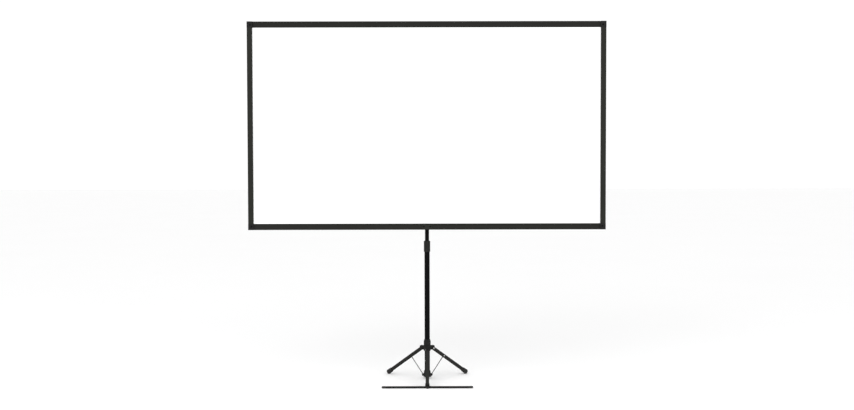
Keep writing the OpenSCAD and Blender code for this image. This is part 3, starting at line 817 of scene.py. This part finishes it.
@dataclass(frozen=True)
class Tube:
    """A round tube that stands on the pole axis, with lightly rounded ends."""

    node: str
    wall: float = 1.5 * MM
    edge: float = 0.4 * MM

    def build(self) -> None:
        """Turns the wall's section round the pole axis."""
        low, high = span(self.node)
        outer = radius_of(self.node)
        inner = outer - self.wall
        round_pole(f"{self.node}_turned", [
            (outer, low[2], self.edge), (outer, high[2], self.edge),
            (inner, high[2], self.edge), (inner, low[2], self.edge)]).made(BLACK, self.node)


@dataclass(frozen=True)
class PoleClamp:
    """The twist clamp: a bevelled foot and a collar with upright grooves for the hand."""

    grooves: int = 20
    groove_deep: float = 1.1 * MM
    bevel: float = 4 * MM

    def build(self) -> None:
        """Makes both parts."""
        self.foot()
        self.collar()

    def foot(self) -> None:
        """The foot is pressed on the lower tube and its neck reaches up into the collar."""
        low, high = span("clamp_base")
        outer = radius_of("clamp_base")
        step = span("clamp_grip")[0][2] - FREE
        tube = POLE_R + SEAT
        neck = outer - 1.75 * MM
        round_pole("clamp_base_turned", [
            (outer - 1.5 * MM, low[2], 0.5 * MM), (outer, low[2] + 3 * MM, 1 * MM),
            (outer, step, 0.3 * MM), (neck, step, 0.3 * MM), (neck, high[2], 0.4 * MM),
            (tube, high[2], 0.3 * MM), (tube, low[2], 0.4 * MM)]).made(GREY, "clamp_base")

    def collar(self) -> None:
        """Each groove is a cosine dip to the power of four, faded out at its two ends."""
        low, high = span("clamp_grip")
        outer = radius_of("clamp_grip")
        upper = radius_of("upper_tube") + FREE
        neck = outer - 1.45 * MM
        collet = POLE_R + FREE
        neck_top = span("clamp_base")[1][2] + FREE
        lid = high[2] - 5 * MM
        start, stop = low[2] + self.bevel, high[2] - 1.5 * self.bevel
        flank = [(outer, z, 0.0) for z in np.linspace(start - 1 * MM, stop + 1 * MM, 24)]
        corners = [(outer, low[2], 0.4 * MM), *flank, (outer, high[2] - self.bevel, 1 * MM),
                   (outer - self.bevel, high[2], 0.8 * MM), (upper, high[2], 0.4 * MM),
                   (upper, lid, 0.3 * MM), (collet, lid, 0.0), (collet, neck_top, 0.0),
                   (neck, neck_top, 0.0), (neck, low[2], 0.3 * MM)]
        profile = arc_corners(corners, 4)
        radius, height = profile[:, :1], profile[:, 1:]
        ends = np.clip((height - start) / MM, 0, 1) * np.clip((stop - height) / MM, 0, 1)
        hollow = np.cos(self.grooves * around(400) / 2) ** 4
        dip = self.groove_deep * hollow * ends * (radius > outer - 1e-6)
        ring = revolved(profile, 400, -dip)
        Piece("clamp_grip_ribbed").add(ring, POLE_AXES, ring=True).made(GREY, "clamp_grip", 50.0)


# Stand

LEG_ANGLE = limit("leg_front_fold")
LEG_HALF = 17.5 * MM / 2 + SEAT
FOOT_REACH = 234 * MM
SPIDER_R = 25 * MM
SIDES = ("front", "right", "left")
UP = np.array([0.0, 0.0, 1.0])


def outwards(side: str) -> Array:
    """The level direction from the pole to a leg's pivot.

    Args:
        side: the leg.

    Returns:
        A unit vector.
    """
    away = joint(f"leg_{side}_fold")[0] - POLE
    away[2] = 0.0
    return away / np.linalg.norm(away)


def leg_axes(side: str) -> Axes:
    """A leg's frame: its pivot is the origin, -Z runs down the leg and X faces out and up.

    Args:
        side: the leg.

    Returns:
        The axes.
    """
    out = outwards(side)
    z = UP * math.cos(LEG_ANGLE) - out * math.sin(LEG_ANGLE)
    return Axes.along(joint(f"leg_{side}_fold")[0], z, out)


def foot_axes(side: str) -> Axes:
    """The frame at the end of a leg, where the middle of the foot is."""
    reach = FOOT_REACH - np.linalg.norm((joint(f"leg_{side}_fold")[0] - POLE)[:2])
    return leg_axes(side).raised(-reach / math.sin(LEG_ANGLE))


def crosswise(side: str, origin: Array) -> Axes:
    """Axes on a leg's middle plane: X points outwards, Y down and Z across the leg."""
    return Axes.along(origin, np.cross(UP, outwards(side)), outwards(side))


def knob_axes() -> Axes:
    """Axes on the pole with Z along the thumbscrew."""
    knob, axis = joint("hub_lock_turn")
    return Axes.along([POLE[0], POLE[1], knob[2]], axis)


# For an outline that is drawn with Y up, because Y points down in crosswise axes
FLIPPED = [1.0, -1.0, 1.0]


@dataclass(frozen=True)
class Hub:
    """The sliding hub: a collar with a rounded shoulder, three lugs and a boss for the knob."""

    shoulder: float = 15 * MM
    lug_r: float = 6 * MM
    lug_half: float = 6.95 * MM
    crest: float = 15.5 * MM

    def build(self) -> None:
        """Joins the collar, the lugs and the boss in one piece.

        The collar's shoulder is a straight slope with the bow of half a sine. A lug is round
        below its pin and rises to a square crest above it.
        """
        low, high = span("leg_hub")
        inner, outer, lip = POLE_R + FREE, POLE_R + 4.5 * MM, POLE_R + 1.5 * MM
        t = np.linspace(0, 1, 10)
        bow = np.stack([outer + (lip - outer) * t + 0.9 * MM * np.sin(np.pi * t),
                        high[2] - self.shoulder * (1 - t)], 1)
        collar = [(outer - 2 * MM, low[2], 0.8 * MM), (outer, low[2] + 4 * MM, 1.5 * MM),
                  *[(r, z, 0.0) for r, z in bow[:-1]], (lip, high[2], 0.6 * MM),
                  (inner, high[2], 0.5 * MM), (inner, low[2], 0.5 * MM)]
        piece = round_pole("leg_hub_moulded", collar)
        for side in SIDES:
            pivot, _ = joint(f"leg_{side}_fold")
            reach = np.linalg.norm((pivot - POLE)[:2])
            r, root = self.lug_r, POLE_R + 2 * MM - reach
            lug = arc_corners([(root, -r, 0.0), (r, -r, 0.98 * r), (r, self.crest, 4 * MM),
                               (root, self.crest, 0.0)], 8)
            plate = slab(lug, -self.lug_half, self.lug_half, 0.8 * MM)
            piece.add(plate * FLIPPED, crosswise(side, pivot))
        boss = np.array([[3.1, 14.0], [7.0, 14.0], [7.0, 23.2], [6.6, 24.0], [3.6, 24.0],
                         [3.1, 23.6]]) * MM
        piece.add(revolved(boss, 48), knob_axes(), ring=True)
        piece.made(HUB, "leg_hub")


@dataclass(frozen=True)
class LockKnob:
    """The lobed knob of the thumbscrew behind the hub."""

    lobes: int = 6
    scoop: float = 1.9 * MM

    def build(self) -> None:
        """The hollows are a cosine of the angle on the rim and fade towards the stem."""
        low, high = span("hub_lock_knob")
        radius = radius_of("hub_lock_knob")
        start, stop = low[1] - POLE[1], high[1] - POLE[1]
        stem, neck = 8.5 * MM, start + 3 * MM
        profile = np.array([
            (0.5 * MM, start), (8.2 * MM, start), (stem, start + 0.4 * MM), (stem, neck),
            (radius - 1.2 * MM, neck), (radius - 0.3 * MM, neck + 0.5 * MM),
            (radius, neck + 1.5 * MM), (radius, stop - 2.2 * MM),
            (radius - 0.5 * MM, stop - 0.9 * MM), (radius - 1.6 * MM, stop - 0.1 * MM),
            (radius - 3 * MM, stop), (6 * MM, stop - 0.2 * MM), (5 * MM, stop - 0.9 * MM),
            (0.5 * MM, stop - 1.1 * MM)])
        share = np.clip((profile[:, :1] - stem) / (radius - stem), 0, 1)
        hollow = (0.5 + 0.5 * np.cos(self.lobes * around(144))) ** 1.5
        lobed = revolved(profile, 144, -self.scoop * share * hollow)
        Piece("hub_lock_knob_moulded").add(lobed, knob_axes()).made(CAPS, "hub_lock_knob", 30.0)


def spider_pin(side: str) -> Array:
    """The place of a strut's pivot at the foot of the pole."""
    low, high = span("spider_rivets")
    return POLE + outwards(side) * SPIDER_R + UP * (low[2] + high[2]) / 2


@dataclass(frozen=True)
class Spider:
    """The fixed collar at the foot of the pole with a pair of ears for each strut."""

    ear_r: float = 4.5 * MM
    ear_t: float = 3.2 * MM
    gap: float = 5.6 * MM

    def build(self) -> None:
        """Joins the skirt and six ears in one piece."""
        low, high = span("foot_spider")
        bore = POLE_R + SEAT
        piece = round_pole("foot_spider_moulded", [
            (POLE_R + 7 * MM, low[2], 1 * MM), (POLE_R + 5 * MM, low[2] + 12 * MM, 6 * MM),
            (POLE_R + 3 * MM, high[2], 1.2 * MM), (bore, high[2], 0.4 * MM),
            (bore, low[2], 0.4 * MM)], 6)
        r, root = self.ear_r, POLE_R + 2 * MM - SPIDER_R
        ear = arc_corners([(root, -r - 3 * MM, 0.0), (1 * MM, -r - 3 * MM, 2.5 * MM),
                           (r, 0.0, 4 * MM), (r * 0.7, r, 3 * MM), (root, r, 0.0)], 8)
        ear[:, 0] = np.minimum(ear[:, 0], r)
        for side in SIDES:
            for s in (-1, 1):
                middle = s * (self.gap + self.ear_t) / 2
                plate = slab(ear, middle - self.ear_t / 2, middle + self.ear_t / 2, 0.5 * MM)
                piece.add(plate * FLIPPED, crosswise(side, spider_pin(side)))
        piece.made(HUB, "foot_spider")


@dataclass(frozen=True)
class LegRivet:
    """A rivet through a leg: bright and domed on one flank, blackened and low on the other."""

    shank: float
    head: float
    neck: float
    dome: float = 1.4 * MM
    low_dome: float = 1.1 * MM
    washer: float = 0.1 * MM

    def add(self, bright: Piece, dark: Piece, axes: Axes) -> None:
        """Adds both ends.

        Args:
            bright: the piece that gets the shank and the domed head.
            dark: the piece that gets the closed end.
            axes: the pivot, with Z across the leg.
        """
        rivet(bright, axes, self.shank, self.head, (-LEG_HALF, LEG_HALF), self.dome, False)
        rivet(dark, axes.raised(LEG_HALF), self.neck, self.head, (0.0, self.washer),
              self.low_dome, True)


@dataclass(frozen=True)
class StandRivets:
    """The rivets of the hub, the struts and the spider."""

    hinge: LegRivet = LegRivet(3 * MM, 4.4 * MM, 3.6 * MM)
    pin: LegRivet = LegRivet(2 * MM, 3.4 * MM, 2.8 * MM)
    ear_shank: float = 2 * MM
    ear_head: float = 3 * MM
    ear_dome: float = 0.9 * MM
    ear_in: float = 2.8 * MM
    ear_out: float = 6.05 * MM

    def build(self) -> None:
        """Each strut has a pin of its own, and each ear of the spider has half a rivet."""
        hinges, closed = Piece("hub_hinge_pins_domed"), Piece("hub_hinge_pins_closed")
        spider = Piece("spider_rivets_domed")
        for side in SIDES:
            node = f"strut_pin_{side}"
            bright, dark = Piece(f"{node}_domed"), Piece(f"{node}_closed")
            self.hinge.add(hinges, closed, crosswise(side, joint(f"leg_{side}_fold")[0]))
            self.pin.add(bright, dark, crosswise(side, joint(f"strut_{side}_fold")[0]))
            bright.made(BRIGHT, node)
            dark.made(BLACKENED, node)
            ears = crosswise(side, spider_pin(side))
            for ends in ((self.ear_in, self.ear_out), (-self.ear_out, -self.ear_in)):
                rivet(spider, ears, self.ear_shank, self.ear_head, ends, self.ear_dome,
                      ends[0] > 0)
        hinges.made(BRIGHT, "hub_hinge_pins")
        closed.made(BLACKENED, "hub_hinge_pins")
        spider.made(BLACKENED, "spider_rivets")


@dataclass(frozen=True)
class Strut:
    """A rod with a cross tube on the leg's pin and a flattened eye at the spider."""

    side: str
    rod_r: float = 2 * MM
    eye_r: float = 3.2 * MM
    sleeve_r: float = 3.6 * MM
    pin_r: float = 2.1 * MM
    half: float = 6.95 * MM
    flare: float = 9 * MM

    def build(self) -> None:
        """Over the flare the rod widens and thins to the eye with the square of the way."""
        side, rod_r, eye_r, half = self.side, self.rod_r, self.eye_r, self.half
        top, foot = joint(f"strut_{side}_fold")[0], spider_pin(side)
        run = top - foot
        across = np.cross(UP, outwards(side))
        angle = around(20)
        z = np.linspace(0, 1, 30)[:, None] * (np.linalg.norm(run) - 2.5 * MM) + 1 * MM
        flat = np.clip(1 - (z - 3 * MM) / self.flare, 0, 1) ** 2
        rod = np.stack([(rod_r + 1 * MM * flat) * np.cos(angle),
                        (rod_r - 0.4 * MM * flat) * np.sin(angle), z + 0 * angle], -1)
        piece = Piece(f"strut_{side}_bent").add(rod, Axes.along(foot, run, np.cross(across, run)))
        eye = arc_corners([(x, y, eye_r - 0.01 * MM) for x, y in (
            (-eye_r, -eye_r), (eye_r, -eye_r), (eye_r, eye_r), (-eye_r, eye_r))], 8)
        piece.add(slab(eye, -rod_r, rod_r, 0.4 * MM), Axes.along(foot, across, run))
        sleeve = arc_corners([
            (self.sleeve_r, -half, 0.4 * MM), (self.sleeve_r, half, 0.4 * MM),
            (self.pin_r, half, 0.2 * MM), (self.pin_r, -half, 0.2 * MM)], 3)
        piece.add(revolved(sleeve, 32), Axes.along(top, across, run), ring=True)
        piece.made(ROD, f"strut_{side}")


@dataclass(frozen=True)
class Foot:
    """A rubber boot on the end of a rear leg, ribbed at the mouth and worn flat below."""

    side: str
    radius: float = 12.5 * MM
    toe: float = 9.5 * MM
    tall: float = 22 * MM
    deep: float = 12 * MM
    taper: float = 1 * MM
    rib_deep: float = 0.45 * MM
    rib_pitch: float = 3.6 * MM

    def build(self) -> None:
        """The rows run from the blunt end up to the mouth and down into it.

        The end is a superellipse of the power 2.6 turned round the leg, and the mouth follows
        the leg's section as one of the fifth power. The flank tapers evenly, and is cut in by
        a groove wherever a cosine along the leg is below -0.2.
        """
        power = 2 / 2.6
        t = np.linspace(-np.pi / 2 + 0.06, 0, 18)
        end = np.stack([self.radius * np.cos(t) ** power,
                        -self.toe * np.abs(np.sin(t)) ** power], 1)
        z = np.linspace(0, self.tall - 0.6 * MM, 40)[1:]
        wave = np.cos(2 * np.pi * (z - 8 * MM) / self.rib_pitch)
        rib = self.rib_deep * (wave < -0.2) * (z > 7 * MM) * (z < 19 * MM)
        flank = np.stack([self.radius - self.taper * z / self.tall - rib, z], 1)
        rim = self.radius - self.taper
        inside = [(rim - 0.5 * MM, self.tall), (0.0, self.tall), (0.0, self.tall - 0.5 * MM),
                  (0.0, self.tall - self.deep)]
        profile = np.concatenate([end, flank, inside])
        mouth = sum(np.abs(part(around(72)) / LEG_HALF) ** 5 for part in (np.cos, np.sin)) ** -0.2
        swell = np.zeros((len(profile), 72))
        swell[-3] = np.minimum(mouth + 0.4 * MM, rim - 0.6 * MM)
        swell[-2:] = mouth
        placed = foot_axes(self.side).lay(revolved(profile, 72, swell))
        placed[..., 2] = np.maximum(placed[..., 2], 0.0)
        Piece(f"foot_{self.side}_ribbed").add(placed).made(BOOT, f"foot_{self.side}", 45.0)


@dataclass(frozen=True)
class ArmTip:
    """The rubber cap on a stabiliser arm: a round end, a plain body and a beaded mouth."""

    side: str
    radius: float = 5.6 * MM

    def build(self) -> None:
        """Behind the quarter circle of the end come the body, a groove and the bead."""
        node = f"arm_tip_{self.side}"
        s, r = SIGN[self.side], self.radius
        low, high = span(node)
        hinge, _ = joint(f"arm_{self.side}_fold")
        tip = high[0] if s > 0 else -low[0]
        mouth = tip - (high[0] - low[0])
        t = np.linspace(0, np.pi / 2 - 0.12, 12)
        round_end = np.stack([r * np.cos(t), tip - r + r * np.sin(t)], 1)
        bead = np.array([[3.6, 0.05], [5.1, 0.05], [5.4, 0.4], [5.4, 1.3], [5.25, 1.6],
                         [5.25, 3.2], [5.4, 3.6], [5.6, 8.0]]) * MM
        turned = revolved(np.concatenate([bead + [0.0, mouth], round_end]), 56)
        axes = Axes.along([0.0, hinge[1], hinge[2]], (s, 0, 0))
        Piece(f"{node}_moulded").add(turned, axes).made(BOOT, node, 50.0)


@dataclass(frozen=True)
class FittingPins:
    """The two hinge pins of the stabiliser arms, with domed heads on the upper plate."""

    shank: float = 2 * MM
    head: float = 3.4 * MM
    dome: float = 1 * MM
    half: float = 4 * MM

    def build(self) -> None:
        """Each pin runs from the lower plate to the upper one."""
        piece = Piece("fitting_pins_domed")
        for side in SIGN:
            hinge, axis = joint(f"arm_{side}_fold")
            up = Axes.along(hinge, axis * np.sign(axis[2]), (1, 0, 0))
            rivet(piece, up, self.shank, self.head, (-self.half, self.half), self.dome, True)
        piece.made(BLACKENED, "fitting_pins")


# Screen

SCREEN_MIDDLE = (span("screen_cloth")[0] + span("screen_cloth")[1]) / 2
CLOTH_Y = SCREEN_MIDDLE[1]
BAR_X = joint("bar_right_pivot")[0][0]
INNER_X = joint("screen_fold")[0][0]
# The height of the pivots of the lower inner arms
LOWER_Z = joint("inner_bottom_right_fold")[0][2]
FACE = ScreenFace("screen_face", "white_cloth", (0.975, 0.975, 0.975), (0.0185, 0.0185, 0.0165),
                  span("screen_cloth")[0][2], span("screen_cloth")[1][2])


@dataclass(frozen=True)
class Cloth:
    """The screen cloth with its borders, in one mesh from roller to roller."""

    columns: int = 240
    rows: int = 150
    thick: float = 0.35 * MM
    ripple: float = 0.22 * MM
    inset: float = 1.3 * MM

    def build(self) -> None:
        """A flat grid with a ripple that is too low to see but breaks the light.

        The ripple is a slow sine across the cloth and a second one that slants up it. It fades
        to nothing at the edges, as sin(pi u) sin(pi v). The ends that go into the casings are
        a little less tall than the rest, so that they pass inside the corner caps.
        """
        low = np.minimum(span("screen_cloth")[0], span("border_bottom")[0])
        high = np.maximum(span("screen_cloth")[1], span("border_top")[1])
        edge = span("casing_right")[0][0] - 0.3 * MM
        tail = np.linspace(edge + 0.2 * MM, high[0], 4)
        x = np.concatenate([-tail[::-1], np.linspace(-edge, edge, self.columns + 1), tail])
        x, v = np.meshgrid(x, np.linspace(0, 1, self.rows + 1))
        u = (x - low[0]) / (high[0] - low[0])
        inset = self.inset * (np.abs(x) > edge + 0.1 * MM)
        fade = np.sin(np.pi * u) * np.sin(np.pi * v)
        wave = np.sin(2 * np.pi * (1.5 * u + 0.2)) + 0.6 * np.sin(2 * np.pi * (2.3 * v + 0.7 * u))
        y = CLOTH_Y - self.thick / 2 + self.ripple * fade * wave / 1.6
        z = low[2] + inset + (high[2] - low[2] - 2 * inset) * v
        points = np.stack([x, y, z], -1)
        index = np.arange(u.size).reshape(u.shape)
        quads = np.stack([index[:-1, :-1], index[:-1, 1:], index[1:, 1:], index[1:, :-1]], -1)
        mesh = bpy.data.meshes.new("cloth_with_borders")
        mesh.from_pydata(points.reshape(-1, 3), [], quads.reshape(-1, 4).tolist())
        thing = settle(mesh, FACE, ("screen_cloth", "border_top", "border_bottom"), 180.0)
        mesh.materials.append(BACK.material())
        shell = thing.modifiers.new("cloth", "SOLIDIFY")
        shell.thickness = self.thick
        shell.offset = -1.0
        shell.material_offset = 1
        shell.material_offset_rim = 1
        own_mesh(thing)


@dataclass(frozen=True)
class Casing:
    """A side casing: a folded section with round outer corners and a slot for the cloth."""

    side: str
    wall: float = 1.5 * MM
    slot: float = 2 * MM
    corner: float = 2.4 * MM

    def build(self) -> None:
        """The section runs round the outside, turns in at the slot's lips and comes back inside."""
        node = f"casing_{self.side}"
        low, high = span(node)
        s = SIGN[self.side]
        x_in, x_out = (low[0], high[0]) if s > 0 else (high[0], low[0])
        y0, y1, w, r = low[1], high[1], self.wall, self.corner
        lip0, lip1 = CLOTH_Y - self.slot / 2, CLOTH_Y + self.slot / 2
        inner = r - w
        section = arc_corners([
            (x_in, lip0, 0.5 * MM), (x_in, y0, r), (x_out, y0, r), (x_out, y1, r), (x_in, y1, r),
            (x_in, lip1, 0.5 * MM), (x_in + s * w, lip1, 0.5 * MM), (x_in + s * w, y1 - w, inner),
            (x_out - s * w, y1 - w, inner), (x_out - s * w, y0 + w, inner),
            (x_in + s * w, y0 + w, inner), (x_in + s * w, lip0, 0.5 * MM)])
        rows = [low[2], low[2] + 0.3 * MM, *np.linspace(low[2] + 20 * MM, high[2] - 20 * MM, 12),
                high[2] - 0.3 * MM, high[2]]
        Piece(f"{node}_drawn").add(extruded(section, rows)).made(CHARCOAL, node)


@dataclass(frozen=True)
class CornerPins:
    """The pivot pins behind a casing's corner caps and the socket screws in front of them."""

    side: str
    shank: float = 4 * MM
    head: float = 7 * MM
    plug: float = 4 * MM
    link_near: float = 25 * MM
    link_far: float = 35 * MM
    screw: HexScrew = HexScrew(0.8 * MM, 0.75 * MM, 0.9 * MM)
    screw_in: float = 18 * MM

    def build(self) -> None:
        """A pin's profile runs from the cap through the link to the domed head behind it."""
        side, r, head = self.side, self.shank, self.head
        node = f"corner_pins_{side}"
        caps_low, caps_high = span(f"corner_caps_{side}")
        back, end = caps_high[1], span(node)[1][1]
        start = back - self.plug
        link, past = CLOTH_Y + self.link_near - FREE, CLOTH_Y + self.link_far + FREE
        turned = revolved(np.array([
            (0.3 * MM, start), (r - 0.2 * MM, start), (r, start + 0.2 * MM), (r, back),
            (head, back), (head, link), (r, link), (r, past), (head - 0.4 * MM, past),
            (head, past + 0.4 * MM), (head - 0.3 * MM, end - 0.5 * MM),
            (head - 1.6 * MM, end - 0.05 * MM), (0.3 * MM, end)]), 48)
        pivot = joint(f"bar_{side}_pivot")[0]
        piece, screws = Piece(f"{node}_turned"), Piece(f"corner_screws_{side}")
        for z in (pivot[2], LOWER_Z):
            piece.add(turned, Axes.along([pivot[0], 0, z], (0, 1, 0)))
        for z in (caps_low[2] + self.screw_in, caps_high[2] - self.screw_in):
            foot = [SIGN[side] * (BAR_X - 3.5 * MM), caps_low[1] + 1 * MM, z]
            self.screw.add(screws, foot)
        screws.made(BOLT, node)
        piece.made(BRIGHT, node)


@dataclass(frozen=True)
class PlateScrews:
    """The two socket screws of the clamp plate at the lower middle."""

    screw: HexScrew = HexScrew(1.5 * MM, 0.9 * MM, 8.5 * MM)
    sunk: float = 1.8 * MM

    def build(self) -> None:
        """The screws sit in front of the pivots of the lower inner arms."""
        low, _ = span("cloth_clamp_plate")
        piece = Piece("clamp_plate_screws_turned")
        for x in (-INNER_X, INNER_X):
            self.screw.add(piece, [x, low[1] + self.sunk, LOWER_Z])
        piece.made(BOLT, "clamp_plate_screws")


# The parts that keep the shape of their CAD nodes

LINKS = [(f"{which}_link_{level}_{side}", 0.5) for which in ("inner", "outer")
         for level in ("top", "bottom") for side in SIGN]
# For each finish, its nodes and the widths of their broken edges in millimetres
EASED = {
    LEG: [("leg_front", 0.35), ("leg_right", 0.35), ("leg_left", 0.35)],
    HUB: [("front_fitting", 0.5)],
    ARM: [("arm_right", 0.3), ("arm_left", 0.3)],
    BLACK: [("spine_cap", 0.7), ("top_bracket", 0.4), ("bottom_bracket", 0.4)],
    CAPS: [("corner_caps_right", 0.6), ("corner_caps_left", 0.6)],
    CHARCOAL: [("spine", 0.3), ("cloth_clamp_plate", 0.5), *LINKS],
    BRIGHT: [("bracket_pins", 0.4)],
}
PLAIN = {
    "tube_bush": NYLON, "clamp_collet": NYLON, "pole_guide": NYLON, "pole_socket": NYLON,
    "hub_lock_screw": BRIGHT, "roller_right": ROLLER, "roller_left": ROLLER,
    "tube_end_plug": BOOT, "roller_wraps_right": WOUND, "roller_wraps_left": WOUND,
}


class KeptShapes:
    """The parts whose shape is already that of their CAD nodes."""

    def build(self) -> None:
        """Breaks the edges of those that show, and gives the hidden ones their materials."""
        for finish, parts in EASED.items():
            for node, edge in parts:
                eased(node, finish, edge * MM)
        for node, finish in PLAIN.items():
            mesh = frame["nodes"][node].data
            mesh.materials.clear()
            mesh.materials.append(finish.material())
            LOG.info("%s: %s", node, finish.name)


# Studio

@dataclass(frozen=True)
class Lamp:
    """A square soft light that looks at a point."""

    name: str
    place: tuple[float, float, float]
    aim: tuple[float, float, float]
    size: float
    watts: float

    def build(self) -> None:
        """Hangs the light and turns it to its point."""
        data = bpy.data.lights.new(self.name, "AREA")
        data.shape = "SQUARE"
        data.size = self.size
        data.energy = self.watts
        lamp = linked(self.name, data)
        lamp.location = self.place
        look = Vector(self.aim) - Vector(self.place)
        lamp.rotation_euler = look.to_track_quat("-Z", "Y").to_euler()


@dataclass(frozen=True)
class Studio:
    """The camera of the picture, a pale floor, a white world and soft lights."""

    lens: float = 42.515
    place: tuple[float, float, float] = (-0.009549, -5.122696, 1.07190)
    pitch: float = 0.0338
    yaw: float = 0.00189
    roll: float = -0.00203
    floor_half: float = 60.0
    sky: float = 1.04
    key: Lamp = Lamp("key", (-2.6, -4.2, 3.6), (0.0, 0.0, 1.2), 3.0, 60.0)
    fill: Lamp = Lamp("fill", (3.0, -3.8, 2.0), (0.0, 0.0, 0.9), 3.0, 25.0)

    def camera(self) -> None:
        """Looks along +Y, turned by the yaw, tipped down by the pitch and then rolled."""
        level = Vector((math.sin(self.yaw), math.cos(self.yaw), 0.0))
        side = Vector((math.cos(self.yaw), -math.sin(self.yaw), 0.0))
        forward = math.cos(self.pitch) * level - math.sin(self.pitch) * Vector((0, 0, 1))
        above = math.sin(self.pitch) * level + math.cos(self.pitch) * Vector((0, 0, 1))
        right = math.cos(self.roll) * side + math.sin(self.roll) * above
        up = math.cos(self.roll) * above - math.sin(self.roll) * side
        data = bpy.data.cameras.new("picture_camera")
        data.lens = self.lens
        data.sensor_width = 36.0
        data.clip_end = 60.0
        camera = linked("picture_camera", data)
        camera.matrix_world = Matrix(
            ((*right, 0), (*up, 0), (*-forward, 0), (*self.place, 1))).transposed()
        bpy.context.scene.camera = camera

    def floor(self) -> None:
        """A wide pale floor with a faint grain."""
        mesh = bpy.data.meshes.new("studio_floor")
        w = self.floor_half
        mesh.from_pydata([(-w, -w, 0), (w, -w, 0), (w, w, 0), (-w, w, 0)], [], [(0, 1, 2, 3)])
        shade = Shade("studio_floor")
        mesh.materials.append(shade.finish(
            Base_Color=shade.blend(shade.noise(0.7, 3.0), (0.93, 0.93, 0.93), (0.95, 0.95, 0.95)),
            Roughness=shade.noise(30.0, 2.0) * 0.1 + 0.85, Specular_IOR_Level=0.1))
        linked("studio_floor", mesh)

    def world(self) -> None:
        """An even white light from all around."""
        world = bpy.data.worlds.new("white_studio")
        world.use_nodes = True
        light = world.node_tree.nodes["Background"].inputs
        light["Color"].default_value = (1.0, 1.0, 1.0, 1.0)
        light["Strength"].default_value = self.sky
        bpy.context.scene.world = world

    def build(self) -> None:
        """Sets up the whole studio."""
        bpy.context.scene.view_settings.view_transform = "Standard"
        self.world()
        self.floor()
        self.camera()
        self.key.build()
        self.fill.build()


def main() -> None:
    """Builds every sub-assembly and the studio."""
    logging.basicConfig(level=logging.INFO)
    parts = [Tube("lower_tube"), Tube("upper_tube"), PoleClamp(), Hub(), LockKnob(), Spider(),
             Foot("right"), Foot("left"), Cloth(), Casing("right"), Casing("left"), StandRivets()]
    parts += [Strut(side) for side in SIDES]
    for side in SIGN:
        parts += [ArmTip(side), CornerPins(side)]
    for part in (*parts, FittingPins(), PlateScrews(), KeptShapes(), Studio()):
        part.build()


if __name__ == "__main__":
    main()
